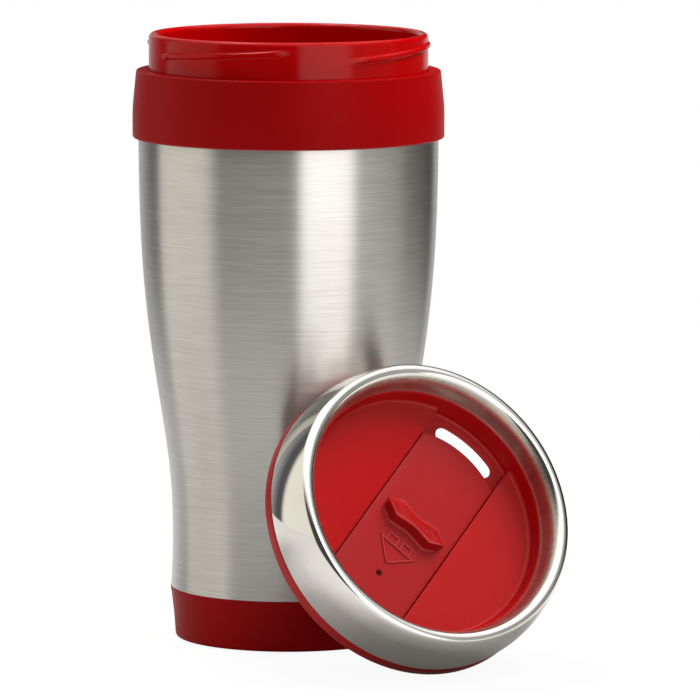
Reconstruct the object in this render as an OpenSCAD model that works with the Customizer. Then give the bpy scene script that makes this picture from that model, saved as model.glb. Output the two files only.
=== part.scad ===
// Insulated travel mug with its screw lid taken off and leaned against the side.
// Millimetres. Origin at the centre of the foot, on the surface it stands on; +Z up the mug.

/* [Mug] */
// Height of the mug from the standing surface to the drinking neck's rim
mug_h = 172; // [140:1:210]
// Radius of the steel shell at its widest, under the collar
shell_top_r = 42.4; // [38:0.1:52]
// Radius of the steel shell at the waist
shell_waist_r = 32.8; // [27:0.1:37]
// Height of the waist above the standing surface
shell_waist_z = 28.9; // [24:0.1:40]
// How much the steel shell flares out again from the waist to the foot
shell_foot_flare = 0.45; // [0:0.05:1.5]
// Thickness of the steel sheet of the shell
shell_t = 0.6; // [0.4:0.05:1]

/* [Liner] */
// How far the threaded neck stands in from the shell's widest radius
neck_inset = 3; // [1.5:0.1:5]
// Wall of the neck
neck_wall = 2.5; // [1.8:0.1:3.5]
// Height of the neck above the collar
neck_h = 10.4; // [8:0.1:14]
// Wall of the liner below the neck
liner_wall = 2; // [1.2:0.1:3]
// Thickness of the liner's floor
liner_floor = 2.5; // [1.5:0.1:4]
// Thickness of the insulation between liner and shell
foam_t = 3; // [2:0.1:5]

/* [Collar and base] */
// Wall of the collar round the shell
collar_wall = 1.35; // [1.2:0.05:2.5]
// Height of the collar
collar_h = 19.1; // [14:0.1:26]
// How much the collar narrows from its largest radius to its top edge
collar_taper = 1.05; // [0.2:0.05:1.2]
// Height of the base cap's visible side
base_h = 15; // [10:0.1:22]
// How much the base cap narrows towards the foot
base_inset = 1.3; // [0.5:0.05:3]
// How far the base cap's top edge stands out from the steel
base_proud = 0.2; // [0:0.05:0.6]
// Width of the base cap's rim round the non-slip pad
pad_inset = 4.95; // [3:0.05:10]
// Thickness of the non-slip pad
pad_t = 1.6; // [1:0.1:2.5]
// How far the pad stands out below the base cap
pad_proud = 0.5; // [0.2:0.1:1]

/* [Thread] */
// Number of thread ridges round the neck
thread_starts = 4; // [2:1:6]
// Rise of the thread in one turn
thread_lead = 15; // [8:0.5:24]
// Part of the turn that one ridge covers, in degrees
thread_span = 66; // [30:1:80]
// How far a ridge stands out from its wall
thread_depth = 0.8; // [0.4:0.05:1]
// Height of a ridge's root along the neck
thread_root = 2; // [1.2:0.1:2.6]

/* [Lid] */
// How far the lid's flange stands in from the collar's largest radius
flange_inset = 1; // [0:0.1:1.4]
// Height of the lid's flange
flange_h = 3.7; // [2.5:0.1:5]
// How far the rolled rim rises above the wall over the mug's neck
rim_rise = 6.5; // [5:0.1:10]
// Radius of the rolled rim of the trim ring
rim_round = 2.05; // [1.6:0.05:2.4]
// How far the middle of the rolled rim stands in from the flange
rim_inset = 3.6; // [3.2:0.1:4]
// Radius of the arc that domes the trim ring's outer side
trim_dome_r = 32.6; // [24:0.1:60]
// How much the trim ring's inner side narrows from the rim to the bowl
trim_inner_taper = 1.25; // [1:0.05:1.6]
// Thickness of the trim ring's sheet
trim_t = 0.6; // [0.4:0.05:0.8]
// Depth of the bowl from the rim to its raised floor
bowl_depth = 11.6; // [10.5:0.1:13]
// Wall of the bowl at the edge of its floor
bowl_wall = 1.9; // [1.5:0.1:3]
// Wall of the bowl's floor under the slider
bowl_floor_t = 1.6; // [1.2:0.1:2.5]
// Height of the sealing ring
seal_t = 1.7; // [1:0.1:2.2]

/* [Slider and openings] */
// Width of the slider's channel
channel_w = 26; // [22:0.5:30]
// Thickness of the slider's plate
slider_t = 1.7; // [1.2:0.1:2.2]
// How far the slider travels to close the drink slot
slider_travel = 6; // [5:0.1:6.2]
// Distance from the drink slot's middle line to the edge of the bowl's floor
slot_inset = 6.15; // [5:0.05:8]
// Width of the drink slot
slot_w = 3.9; // [3:0.1:4.5]
// Angle from the slot's middle to the centre of its round end
slot_half_angle = 16.3; // [10:0.1:18]
// Radius of the vent hole
vent_r = 0.9; // [0.6:0.05:1.5]
// Distance of the vent hole behind the lid's axis
vent_back = 22.4; // [20:0.1:24]
// Height of the thumb grip above the slider's plate
grip_h = 3.4; // [2:0.1:5]
// Half of the thumb grip's length across the slider
grip_half = 10; // [7:0.1:11]
// Height of the raised arrow outline
arrow_h = 0.25; // [0.1:0.05:0.5]

/* [Leaning lid] */
// Tilt of the lid's axis from upright
lid_tilt = 62; // [55:0.5:70]
// Direction that the lid's open bowl faces, in the floor plane, from +X
lid_facing = -59.8; // [-75:0.1:-45]
// Direction from the mug's axis to the lid's highest flange point, from +X
lean_bearing = -54.7; // [-65:0.1:-45]
// Turn of the lid about its own axis
lid_spin = 41.6; // [0:0.1:90]

/* [Hidden] */
$fn = 96;

// Clearances
fit_gap = 0.15;        // between rigid pieces that are pressed or glued together
foam_gap = 0.25;       // round the insulation on each side
thread_gap = 0.25;     // between a thread ridge and the wall facing it
slide_gap = 0.4;       // at each side of the slider
glide_gap = 0.1;       // under the slider
floor_gap = 0.2;       // under the leaning lid
lean_gap = 0.15;       // from the leaning lid's flange to the shell
cut = 1;               // how far a cutting shape runs past a face

// Levels of the mug
collar_top_z = mug_h - neck_h;
collar_z = collar_top_z - collar_h;
lip_t = 2;                                  // top lip of the collar
shoulder_t = 2;                             // shoulder of the liner under that lip
shoulder_z = collar_top_z - lip_t - shoulder_t;
shoulder_proud = 0.1;                       // how far the shoulder stands out over the shell
shoulder_r = shell_top_r + shoulder_proud;
collar_bore_r = shoulder_r + fit_gap;
collar_r = collar_bore_r + collar_wall;
neck_r = shell_top_r - neck_inset;
spigot_h = 6;                               // part of the base cap inside the shell
base_z = pad_proud;                         // underside of the base cap
base_floor = 2.5;
foot_space = 7;                             // empty height under the liner's floor
liner_floor_z = base_z + base_floor + foot_space;
wall_steps = 28;                            // straight steps along a curved wall
shell_bend = 4;                             // how early the shell turns upright towards its top
shell_ease = 3;                             // how gently it leaves the waist

// Radius of the steel shell's outer face at height z: an S-curve from waist to top, a flare below
function shell_r(z) =
    let (rise = (z - shell_waist_z) / (mug_h - shell_waist_z))
    rise > 0
    ? shell_waist_r
      + (shell_top_r - shell_waist_r) * pow(1 - pow(1 - rise, shell_bend), shell_ease)
    : shell_waist_r + shell_foot_flare
      * pow((shell_waist_z - z) / (shell_waist_z - base_h), 2);

// Points of the shell's curve moved in by inset, from height low to height high
function wall_curve(low, high, inset, steps = wall_steps) =
    [for (i = [0 : steps]) let (z = low + (high - low) * i / steps) [shell_r(z) - inset, z]];

function reversed(list) = [for (i = [len(list) - 1 : -1 : 0]) list[i]];

// Points of an arc about [r, z], from angle a to angle b
function arc(r, z, radius, a, b, steps = 8) =
    [for (i = [0 : steps]) let (t = a + (b - a) * i / steps)
        [r + radius * cos(t), z + radius * sin(t)]];

liner_inset = shell_t + foam_t + 2 * foam_gap;
foam_low = base_h + spigot_h;
shoulder_drop = 6;          // from the shoulder down to the top of the insulation
foam_high = shoulder_z - shoulder_drop;
neck_blend_h = 4;           // height over which the liner widens from there into the neck
liner_round = 4;            // round edge of the liner's floor
rim_edge = neck_wall / 2;   // round rim of the neck

module inner_liner() {
    inner_low = liner_floor_z + liner_floor;
    corner_z = max(inner_low + liner_round, base_h);
    corner_r = shell_r(corner_z) - liner_inset - liner_wall;
    corner_steps = 8;
    corner_turn = 90 / corner_steps;
    neck_low = foam_high + neck_blend_h;
    color([0.72, 0.02, 0.03]) {
        rotate_extrude()
            polygon(concat(
                [[0, liner_floor_z], [shell_r(base_h) - liner_inset, liner_floor_z]],
                wall_curve(base_h, foam_high, liner_inset),
                [[neck_r, neck_low], [neck_r, shoulder_z], [shoulder_r, shoulder_z],
                 [shoulder_r, shoulder_z + shoulder_t], [neck_r, shoulder_z + shoulder_t]],
                arc(neck_r - rim_edge, mug_h - rim_edge, rim_edge, 0, 180),
                [[neck_r - neck_wall, neck_low]],
                reversed(wall_curve(corner_z, foam_high, liner_inset + liner_wall)),
                arc(corner_r - liner_round, inner_low + liner_round, liner_round,
                    -corner_turn, -90, corner_steps - 1),
                [[0, inner_low]]));
        for (i = [0 : thread_starts - 1])
            rotate(first_ridge + i * 360 / thread_starts)
                translate([0, 0, ridge_mid_z])
                    thread_ridge(neck_r, thread_depth, 1);
    }
}

first_ridge = 238;                        // direction of the middle of the first ridge, from +X
ridge_mid_h = 6.3;                        // height of a ridge's middle above the lid's seat
ridge_mid_z = collar_top_z + ridge_mid_h;
ridge_bury = 0.6;                         // depth of a ridge inside its wall
thread_crest = 0.4;                       // height of a ridge's crest as a part of its root
ridge_slope = atan(thread_lead / (2 * PI * neck_r));

// One thread ridge centred on +X: an arc tilted about its middle so that it climbs with the thread.
// side = 1 puts it on the outside of a wall of radius wall_r, -1 on the inside.
module thread_ridge(wall_r, depth, side) {
    crest = thread_crest * thread_root;
    buried_root = crest + (thread_root - crest) * (depth + ridge_bury) / depth;
    rotate([ridge_slope, 0, 0])
        rotate(-thread_span / 2)
            rotate_extrude(angle = thread_span)
                polygon([[wall_r - side * ridge_bury, -buried_root / 2],
                         [wall_r + side * depth, -crest / 2],
                         [wall_r + side * depth, crest / 2],
                         [wall_r - side * ridge_bury, buried_root / 2]]);
}

module insulation_sleeve() {
    color([0.93, 0.92, 0.86])
        rotate_extrude()
            polygon(concat(
                wall_curve(foam_low, foam_high - foam_gap, shell_t + foam_gap),
                reversed(wall_curve(foam_low, foam_high - foam_gap, liner_inset - foam_gap))));
}

module outer_shell() {
    color([0.62, 0.61, 0.6])
        rotate_extrude()
            polygon(concat(
                wall_curve(base_h, shoulder_z, 0),
                reversed(wall_curve(base_h, shoulder_z, shell_t))));
}

collar_edge = 0.8;         // round bottom edge of the collar
collar_top_edge = 0.5;     // round top edge of the collar
collar_straight = 6;       // part of the collar's side that stands upright
collar_bend_h = 5;         // height over which the side bends into its taper

module neck_collar() {
    top_r = collar_r - collar_taper;
    taper_h = collar_h - collar_straight - collar_bend_h / 2;
    bend = atan(collar_taper / taper_h);
    bend_r = collar_bend_h / sin(bend);
    color([0.6, 0.05, 0.06])
        rotate_extrude()
            polygon(concat(
                [[collar_bore_r, collar_z]],
                arc(collar_r - collar_edge, collar_z + collar_edge, collar_edge, -90, 0),
                arc(collar_r - bend_r, collar_z + collar_straight, bend_r, 0, bend),
                arc(top_r - collar_top_edge, collar_top_z - collar_top_edge, collar_top_edge, bend, 90, 5),
                [[neck_r + fit_gap, collar_top_z], [neck_r + fit_gap, collar_top_z - lip_t],
                 [collar_bore_r, collar_top_z - lip_t]]));
}

base_edge = 1.2;           // round bottom edge of the base cap
base_lip_edge = 0.3;       // round top edge of the base cap
base_bulge = 0.45;         // how much of the side's widening comes late, towards the top
base_foot_r = shell_r(base_h) - base_inset;
pad_r = base_foot_r - pad_inset;
boss_r = 16;               // ring inside the base cap that holds up the liner
boss_wall = 3;

// Radius of the base cap's side at height z
function base_r(z) =
    let (top_r = shell_r(base_h) + base_proud, rise = (z - base_z) / (base_h - base_z))
    base_foot_r + (top_r - base_foot_r) * ((1 - base_bulge) * rise + base_bulge * rise * rise);

module base_cap() {
    inner_r = shell_r(base_h) - liner_inset + foam_gap;
    spigot_r = shell_r(base_h + spigot_h) - shell_t - fit_gap;
    side_low = base_z + base_edge;
    side_high = base_h - base_lip_edge;
    color([0.45, 0.04, 0.05])
        difference() {
            rotate_extrude()
                polygon(concat(
                    [[0, base_z]],
                    arc(base_r(side_low) - base_edge, side_low, base_edge, -90, 0, 6),
                    [for (i = [1 : 8]) let (z = side_low + (side_high - side_low) * i / 8)
                        [base_r(z), z]],
                    arc(base_r(side_high) - base_lip_edge, side_high, base_lip_edge, 0, 90, 4),
                    [[spigot_r, base_h], [spigot_r, base_h + spigot_h],
                     [inner_r, base_h + spigot_h], [inner_r, base_z + base_floor],
                     [boss_r, base_z + base_floor], [boss_r, liner_floor_z],
                     [boss_r - boss_wall, liner_floor_z], [boss_r - boss_wall, base_z + base_floor],
                     [0, base_z + base_floor]]));
            cylinder(r = pad_r + fit_gap, h = pad_t);
        }
}

module foot_pad() {
    color([0.12, 0.12, 0.12])
        cylinder(r = pad_r, h = pad_t);
}

// ---- Lid, drawn in its own frame: origin at the centre of the flange's seat, +Z out of the bowl,
// ---- +Y towards the drink slot.

seal_gap = 0.2;                                        // from the neck's rim to the seal, lid on
seal_low = neck_h + seal_gap;
groove_top = seal_low + seal_t;                        // top of the groove that takes the neck
groove_gap = 0.4;                                      // from the neck's bore to the bowl's wall
groove_out_r = neck_r + thread_depth + thread_gap;     // inside of the lid's outer wall
groove_in_r = neck_r - neck_wall - groove_gap;         // outside of the bowl's wall
bridge_t = 1.8;                                        // wall over the groove
bridge_h = groove_top + bridge_t;
lid_h = bridge_h + rim_rise;
flange_r = collar_r - flange_inset;
flange_edge = 0.6;

// The trim ring's outer side is one arc that runs smoothly into the rolled rim
rim_mid_r = flange_r - rim_inset;
rim_mid_h = lid_h - rim_round;
dome_drop = 12.1;                                      // from the rim's top to the arc's centre
dome_mid_h = lid_h - dome_drop;
dome_blend = asin((rim_mid_h - dome_mid_h) / (trim_dome_r - rim_round));
dome_mid_r = rim_mid_r - (trim_dome_r - rim_round) * cos(dome_blend);
function dome_angle(h) = asin((h - dome_mid_h) / trim_dome_r);
// Inside radius of the trim ring's domed side at height h
function trim_bore_r(h) =
    dome_mid_r + (trim_dome_r - trim_t) * cos(asin((h - dome_mid_h) / (trim_dome_r - trim_t)));
// Outside of the lid's wall under the ring, clear of the ring at both ends of that wall
skirt_r = min(trim_bore_r(flange_h), trim_bore_r(bridge_h)) - fit_gap;
ledge_drop = 0.9;                                      // seat of the ring's inner edge
ledge_gap = 0.5;
trim_inner_r = rim_mid_r - rim_round - trim_inner_taper;
trim_inner_h = bridge_h - ledge_drop;

bowl_floor_h = lid_h - bowl_depth;                     // raised floor above the flange's seat
bowl_floor_r = groove_in_r - bowl_wall;
bowl_slope = 0.22;                                     // widening of the bowl's wall per height
slider_sink = 0.2;                                     // plate's top face below the raised floor
channel_floor_h = bowl_floor_h - slider_sink - slider_t - glide_gap;
floor_low = channel_floor_h - bowl_floor_t;
bowl_edge = 0.8;                                       // fillet between the bowl's wall and floor
slot_mid_r = bowl_floor_r - slot_inset;

// Radius of the bowl's sloping wall at height h
function bowl_wall_r(h) = bowl_floor_r + (h - bowl_floor_h) * bowl_slope;

module lid_pose() {
    top_z = lid_mid_z + flange_r * sin(lid_tilt);
    touch = shell_r(top_z) + lean_gap;
    reach = flange_r * cos(lid_tilt);
    translate([touch * cos(lean_bearing) + reach * cos(lid_facing),
               touch * sin(lean_bearing) + reach * sin(lid_facing), lid_mid_z])
        rotate([0, lid_tilt, lid_facing])
            rotate(lid_spin)
                children();
}
// Height of the flange seat's centre when the flange's round lower edge stands on the floor
lid_mid_z = (flange_r - flange_edge) * sin(lid_tilt) + flange_edge * (1 - cos(lid_tilt)) + floor_gap;

module lid_cap() {
    color([0.68, 0.04, 0.05])
        lid_pose()
            difference() {
                union() {
                    rotate_extrude() lid_section();
                    raised_floor();
                    for (i = [0 : thread_starts - 1])
                        rotate(i * 360 / thread_starts)
                            translate([0, 0, lid_ridge_mid])
                                thread_ridge(groove_out_r, thread_depth, -1);
                }
                drink_slot();
                translate([0, -vent_back, floor_low - cut])
                    cylinder(r = vent_r, h = bowl_floor_h);
                guide_slot();
            }
}

ridge_play = 0.4;       // from the lid's ridges to the neck's when screwed on
lid_ridge_mid = ridge_mid_h - thread_root - ridge_play;
under_edge = 1.5;       // chamfer under the bowl

module lid_section() {
    ledge_r = trim_inner_r + trim_t + ledge_gap;
    polygon(concat(
        [[0, floor_low], [groove_in_r - under_edge, floor_low], [groove_in_r, floor_low + under_edge],
         [groove_in_r, groove_top], [groove_out_r, groove_top], [groove_out_r, 0]],
        arc(flange_r - flange_edge, flange_edge, flange_edge, -90, 0, 5),
        arc(flange_r - flange_edge, flange_h - flange_edge, flange_edge, 0, 90, 5),
        [[skirt_r, flange_h], [skirt_r, bridge_h], [ledge_r, bridge_h], [ledge_r, trim_inner_h],
         [bowl_wall_r(trim_inner_h), trim_inner_h],
         [bowl_wall_r(channel_floor_h), channel_floor_h], [0, channel_floor_h]]));
}

// The two raised segments of the bowl's floor, one at each side of the slider's channel
module raised_floor() {
    root_h = channel_floor_h - bowl_floor_t / 2;
    root_r = groove_in_r - bowl_edge;
    difference() {
        rotate_extrude()
            polygon([[0, root_h], [root_r, root_h],
                     [root_r, bowl_floor_h + bowl_edge],
                     [bowl_wall_r(bowl_floor_h + bowl_edge), bowl_floor_h + bowl_edge],
                     [bowl_floor_r - bowl_edge, bowl_floor_h], [0, bowl_floor_h]]);
        translate([-channel_w / 2, -bowl_wall_r(channel_floor_h), channel_floor_h])
            cube([channel_w, 2 * bowl_wall_r(channel_floor_h), bowl_floor_h]);
    }
}

module drink_slot() {
    translate([0, 0, floor_low - cut]) {
        rotate(90 - slot_half_angle)
            rotate_extrude(angle = 2 * slot_half_angle)
                translate([slot_mid_r - slot_w / 2, 0])
                    square([slot_w, bowl_floor_h]);
        for (side = [-1, 1])
            rotate(90 + side * slot_half_angle)
                translate([slot_mid_r, 0, 0])
                    cylinder(r = slot_w / 2, h = bowl_floor_h);
    }
}

lug_w = 6;              // width of the slider's snap lug
lug_l = 8;              // length of the lug
lug_y = -4;             // middle of the lug behind the lid's axis
hook = 1;               // how far the lug's hooks reach out under the floor
hook_t = 1.1;

module guide_slot() {
    translate([-lug_w / 2 - slide_gap, lug_y - lug_l / 2 - slide_gap, floor_low - cut])
        cube([lug_w + 2 * slide_gap, lug_l + slider_travel + 2 * slide_gap, bowl_floor_h]);
}

module lid_trim_ring() {
    outer = concat(
        arc(dome_mid_r, dome_mid_h, trim_dome_r, dome_angle(flange_h), dome_blend, 10),
        arc(rim_mid_r, rim_mid_h, rim_round, dome_blend, 180, 14),
        [[trim_inner_r, trim_inner_h]]);
    inner = concat(
        [[trim_inner_r + trim_t, trim_inner_h]],
        arc(rim_mid_r, rim_mid_h, rim_round - trim_t, 180, dome_blend, 14),
        arc(dome_mid_r, dome_mid_h, trim_dome_r - trim_t, dome_blend, dome_angle(flange_h), 10));
    color([0.85, 0.85, 0.86])
        lid_pose()
            rotate_extrude() polygon(concat(outer, inner));
}

module lid_seal() {
    color([0.85, 0.84, 0.8])
        lid_pose()
            rotate_extrude()
                translate([groove_in_r + fit_gap, seal_low])
                    square([groove_out_r - groove_in_r - 2 * fit_gap, seal_t]);
}

slot_gap = 0.1;         // from the open slider's front arc to the drink slot
slider_front_r = slot_mid_r - slot_w / 2 - slot_gap;
slider_back_r = bowl_wall_r(channel_floor_h) - slide_gap;
slider_half = channel_w / 2 - slide_gap;

module slider() {
    low = channel_floor_h + glide_gap;
    color([0.66, 0.1, 0.12])
        lid_pose()
            difference() {
                union() {
                    translate([0, 0, low]) {
                        linear_extrude(slider_t) plate_outline();
                        translate([0, 0, slider_t - plate_bury]) {
                            thumb_grip();
                            linear_extrude(plate_bury + arrow_h) arrow_outline();
                        }
                    }
                    snap_lug(low);
                }
                translate([0, -vent_back, low - cut])
                    cylinder(r = vent_r, h = slider_t + 2 * cut);
            }
}

// A strip with an arc about the lid's axis at each end
module plate_outline() {
    intersection() {
        translate([-slider_half, -slider_back_r]) square([2 * slider_half, 2 * slider_back_r]);
        union() {
            circle(r = slider_front_r, $fn = 180);
            intersection() {
                circle(r = slider_back_r, $fn = 180);
                translate([-slider_half, -slider_back_r]) square([2 * slider_half, slider_back_r]);
            }
        }
    }
}

plate_bury = 0.3;       // how far the grip and the arrow reach into the plate
grip_back = -5.6;       // upright back face of the grip, from the lid's axis
grip_front = 1.5;       // front edge of the grip
grip_waist = 0.85;      // how far each long side is hollowed in its middle
grip_point = 2.4;       // how far the pointed ends stand off the back face
grip_front_h = 0.6;     // height of the grip at its front edge
grip_top_l = 1.2;       // level top between the back face and the slope
grip_tip = 0.4;         // how far the pointed ends lean in towards the front

// Wedge-shaped grip: upright at the back, sloping down to the front, narrowed in the middle
module thumb_grip() {
    shoulder = 0.6 * grip_half;
    point_front = grip_back + 2 * grip_point;
    top = grip_h + plate_bury;
    intersection() {
        linear_extrude(top)
            polygon([[-grip_half, grip_back + grip_point], [-shoulder, grip_back],
                     [0, grip_back + grip_waist], [shoulder, grip_back],
                     [grip_half, grip_back + grip_point], [grip_half - grip_tip, point_front],
                     [shoulder, grip_front], [0, grip_front - grip_waist],
                     [-shoulder, grip_front], [-grip_half + grip_tip, point_front]]);
        translate([-grip_half - cut, 0, 0])
            rotate([90, 0, 90])
                linear_extrude(2 * (grip_half + cut))
                    polygon([[grip_back - cut, 0], [grip_front + cut, 0],
                             [grip_front + cut, grip_front_h], [grip_front, grip_front_h + plate_bury],
                             [grip_back + grip_top_l, top], [grip_back - cut, top]]);
    }
}

arrow_line = 0.45;      // width of the raised outline
arrow_base = -11.5;     // straight edge of the arrow's head
arrow_tip = -17.9;
arrow_half = 6.3;       // half of the head's width
tail_half = 4.3;        // half of the tail's width
tail_l = 2.4;

// Raised outline of an arrow that points away from the drink slot
module arrow_outline() {
    difference() {
        polygon([[-arrow_half, arrow_base], [arrow_half, arrow_base], [0, arrow_tip]]);
        polygon([[-arrow_half + 2.5 * arrow_line, arrow_base - arrow_line],
                 [arrow_half - 2.5 * arrow_line, arrow_base - arrow_line],
                 [0, arrow_tip + 1.5 * arrow_line]]);
    }
    difference() {
        translate([-tail_half, arrow_base - arrow_line / 2])
            square([2 * tail_half, tail_l + arrow_line / 2]);
        translate([-tail_half + arrow_line, arrow_base - cut])
            square([2 * (tail_half - arrow_line), tail_l + cut - arrow_line]);
    }
}

module snap_lug(low) {
    reach = low - floor_low + glide_gap;    // from the plate down to the hooks
    translate([-lug_w / 2, lug_y - lug_l / 2, low - reach])
        cube([lug_w, lug_l, reach + slider_t / 2]);
    translate([-lug_w / 2 - hook - slide_gap, lug_y - lug_l / 2, low - reach - hook_t])
        cube([lug_w + 2 * (hook + slide_gap), lug_l, hook_t]);
}

inner_liner();
insulation_sleeve();
outer_shell();
neck_collar();
base_cap();
foot_pad();
lid_cap();
lid_trim_ring();
lid_seal();
slider();
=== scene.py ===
"""Looks of an insulated travel mug whose lid has been taken off and leans on its side.

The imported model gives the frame: the bodies, the joints and the box of each piece. Each piece is
modelled here again at a finer grain, dressed with a finish, and rides on the body it belongs to.
Sizes are in millimetres and angles in degrees; meshes are made in metres. The mug stands on the
floor with its axis on +Z, and the lid is drawn in a frame of its own: its origin is the middle of
the flange's seat, +Z points out of the bowl and +Y towards the drink slot.
"""

from __future__ import annotations

import logging
import math
from collections.abc import Callable, Sequence
from dataclasses import dataclass, field, replace
from enum import Enum
from functools import cache
from typing import Any

import bmesh
import bpy
from mathutils import Matrix, Vector

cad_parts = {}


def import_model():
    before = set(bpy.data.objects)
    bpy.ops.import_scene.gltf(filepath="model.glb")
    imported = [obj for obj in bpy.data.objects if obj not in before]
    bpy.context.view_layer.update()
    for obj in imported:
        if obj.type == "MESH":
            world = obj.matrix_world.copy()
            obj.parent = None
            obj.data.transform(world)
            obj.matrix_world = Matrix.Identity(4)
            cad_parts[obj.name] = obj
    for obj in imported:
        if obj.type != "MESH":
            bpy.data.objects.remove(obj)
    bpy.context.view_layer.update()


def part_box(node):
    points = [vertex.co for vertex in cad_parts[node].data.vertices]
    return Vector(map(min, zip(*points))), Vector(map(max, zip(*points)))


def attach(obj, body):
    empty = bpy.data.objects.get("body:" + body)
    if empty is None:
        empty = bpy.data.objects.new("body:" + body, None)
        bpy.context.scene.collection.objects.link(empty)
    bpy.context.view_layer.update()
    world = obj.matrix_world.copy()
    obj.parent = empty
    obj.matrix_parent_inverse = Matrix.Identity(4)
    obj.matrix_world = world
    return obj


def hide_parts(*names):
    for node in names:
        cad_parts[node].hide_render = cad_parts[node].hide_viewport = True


log = logging.getLogger("travel_mug")

MM = 0.001
SEGMENTS = 240
HOLE_SEGMENTS = 32
WALL_SLACK = 0.01
SHARP_ANGLE = 32.0

Point = tuple[float, float]
Span = tuple[float, float]
Colour = tuple[float, float, float, float]
Relief = Callable[[float, float, float], Point]

WHITE: Colour = (1.0, 1.0, 1.0, 1.0)


# ---------------------------------------------------------------- outlines


def smooth(share: float) -> float:
    """A share held between 0 and 1 and eased at both ends."""
    held = min(max(share, 0.0), 1.0)
    return held * held * (3 - 2 * held)


def arc(centre: Point, radius: float, start: float, end: float, steps: int = 8) -> list[Point]:
    """Points along an arc.

    Args:
        centre: Middle of the arc.
        radius: Its radius.
        start: Angle of the first point, in degrees.
        end: Angle of the last point, in degrees.
        steps: Number of straight steps.

    Returns:
        The steps + 1 points, ends included.
    """
    angles = [math.radians(start + (end - start) * i / steps) for i in range(steps + 1)]
    return [(centre[0] + radius * math.cos(a), centre[1] + radius * math.sin(a)) for a in angles]


def line(first: Point, last: Point, steps: int) -> list[Point]:
    """Evenly spaced points along a straight line.

    Args:
        first: The first point.
        last: The last point.
        steps: Number of steps between them.

    Returns:
        The steps + 1 points, both ends included.
    """
    shares = [i / steps for i in range(steps + 1)]
    return [
        (first[0] + (last[0] - first[0]) * s, first[1] + (last[1] - first[1]) * s) for s in shares
    ]


def fillet(before: Point, corner: Point, after: Point, radius: float, steps: int) -> list[Point]:
    """Points that round one corner of a line.

    Args:
        before: The point before the corner.
        corner: The corner itself.
        after: The point after it.
        radius: Radius of the round, cut down where the sides are too short for it.
        steps: Number of straight steps along the round.

    Returns:
        The points of the round, or the corner alone where nothing can be rounded.
    """
    here = Vector(corner)
    back, ahead = Vector(before) - here, Vector(after) - here
    room = 0.499 * min(back.length, ahead.length)
    back.normalize()
    ahead.normalize()
    half = back.angle(ahead) / 2
    if radius <= 0 or half > math.radians(89.9) or room <= 0:
        return [corner]
    reach = min(radius / math.tan(half), room)
    true_radius = reach * math.tan(half)
    middle = here + (back + ahead).normalized() * (true_radius / math.sin(half))
    first, last = here + back * reach - middle, here + ahead * reach - middle
    turn = math.atan2(first.x * last.y - first.y * last.x, first.dot(last))
    begin = math.degrees(math.atan2(first.y, first.x))
    return arc((middle.x, middle.y), true_radius, begin, begin + math.degrees(turn), steps)


def rounded(
    corners: Sequence[tuple[float, float, float]], closed: bool = False, steps: int = 5
) -> list[Point]:
    """A line through corners, each given as its place and the radius that rounds it.

    Args:
        corners: The corners, as (first coordinate, second coordinate, radius).
        closed: Whether the last corner joins the first one.
        steps: Number of straight steps along each round.

    Returns:
        The points of the rounded line.
    """
    points: list[Point] = []
    count = len(corners)
    for i, (x, y, radius) in enumerate(corners):
        if not closed and i in (0, count - 1):
            points.append((x, y))
            continue
        before, after = corners[i - 1][:2], corners[(i + 1) % count][:2]
        points += fillet(before, (x, y), after, radius, steps)
    return points


def edge_levels(reach: float, top: float) -> list[Point]:
    """Levels that round the upper edge of a solid or of a hole.

    Args:
        reach: Radius of the round, below zero where the outline shrinks towards the top.
        top: Height of the upper face.

    Returns:
        The levels, each as (growth, height); see stacked().
    """
    turns = [math.radians(angle) for angle in (0, 22, 45, 67, 90)]
    return [(reach * (1 - math.cos(t)), top - abs(reach) * (1 - math.sin(t))) for t in turns]


# ---------------------------------------------------------------- meshes


class Joinery(Enum):
    """How one solid is worked with others."""

    ADD = "UNION"
    CUT = "DIFFERENCE"


def shade(mesh: bpy.types.Mesh) -> None:
    """Smooth shading that stops at real edges."""
    mesh.polygons.foreach_set("use_smooth", [True] * len(mesh.polygons))
    mesh.set_sharp_from_angle(angle=math.radians(SHARP_ANGLE))


def to_object(name: str, shape: bmesh.types.BMesh) -> bpy.types.Object:
    """Turns mesh data that was built in code into an object of the scene.

    Args:
        name: Name of the object.
        shape: The finished mesh data, which is freed here.

    Returns:
        The new object.
    """
    bmesh.ops.recalc_face_normals(shape, faces=shape.faces)
    mesh = bpy.data.meshes.new(name)
    shape.to_mesh(mesh)
    shape.free()
    shade(mesh)
    piece = bpy.data.objects.new(name, mesh)
    bpy.context.scene.collection.objects.link(piece)
    return piece


def revolve(
    name: str, profile: Sequence[Point], relief: Relief | None = None, segments: int = SEGMENTS
) -> bpy.types.Object:
    """A solid of revolution about +Z.

    Args:
        name: Name of the object.
        profile: Points (radius, height). A profile whose ends are on the axis is closed there,
            and any other one is closed from its last point to its first.
        relief: Moves a point of the surface, from (radius, height, angle in degrees) to a new
            (radius, height).
        segments: Number of steps round the axis.

    Returns:
        The new object.
    """
    shape = bmesh.new()
    rings: list[list[bmesh.types.BMVert]] = []
    for radius, height in profile:
        if radius <= 0:
            rings.append([shape.verts.new((0, 0, height * MM))])
            continue
        ring = []
        for i in range(segments):
            turn = 360 * i / segments
            r, z = relief(radius, height, turn) if relief else (radius, height)
            angle = math.radians(turn)
            x, y = r * math.cos(angle), r * math.sin(angle)
            ring.append(shape.verts.new((x * MM, y * MM, z * MM)))
        rings.append(ring)
    pairs = list(zip(rings, rings[1:]))
    if len(rings[0]) > 1:
        pairs.append((rings[-1], rings[0]))
    for low, high in pairs:
        for i in range(segments):
            j = i + 1
            corners = low[i % len(low)], low[j % len(low)], high[j % len(high)], high[i % len(high)]
            shape.faces.new(list(dict.fromkeys(corners)))
    return to_object(name, shape)


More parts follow.
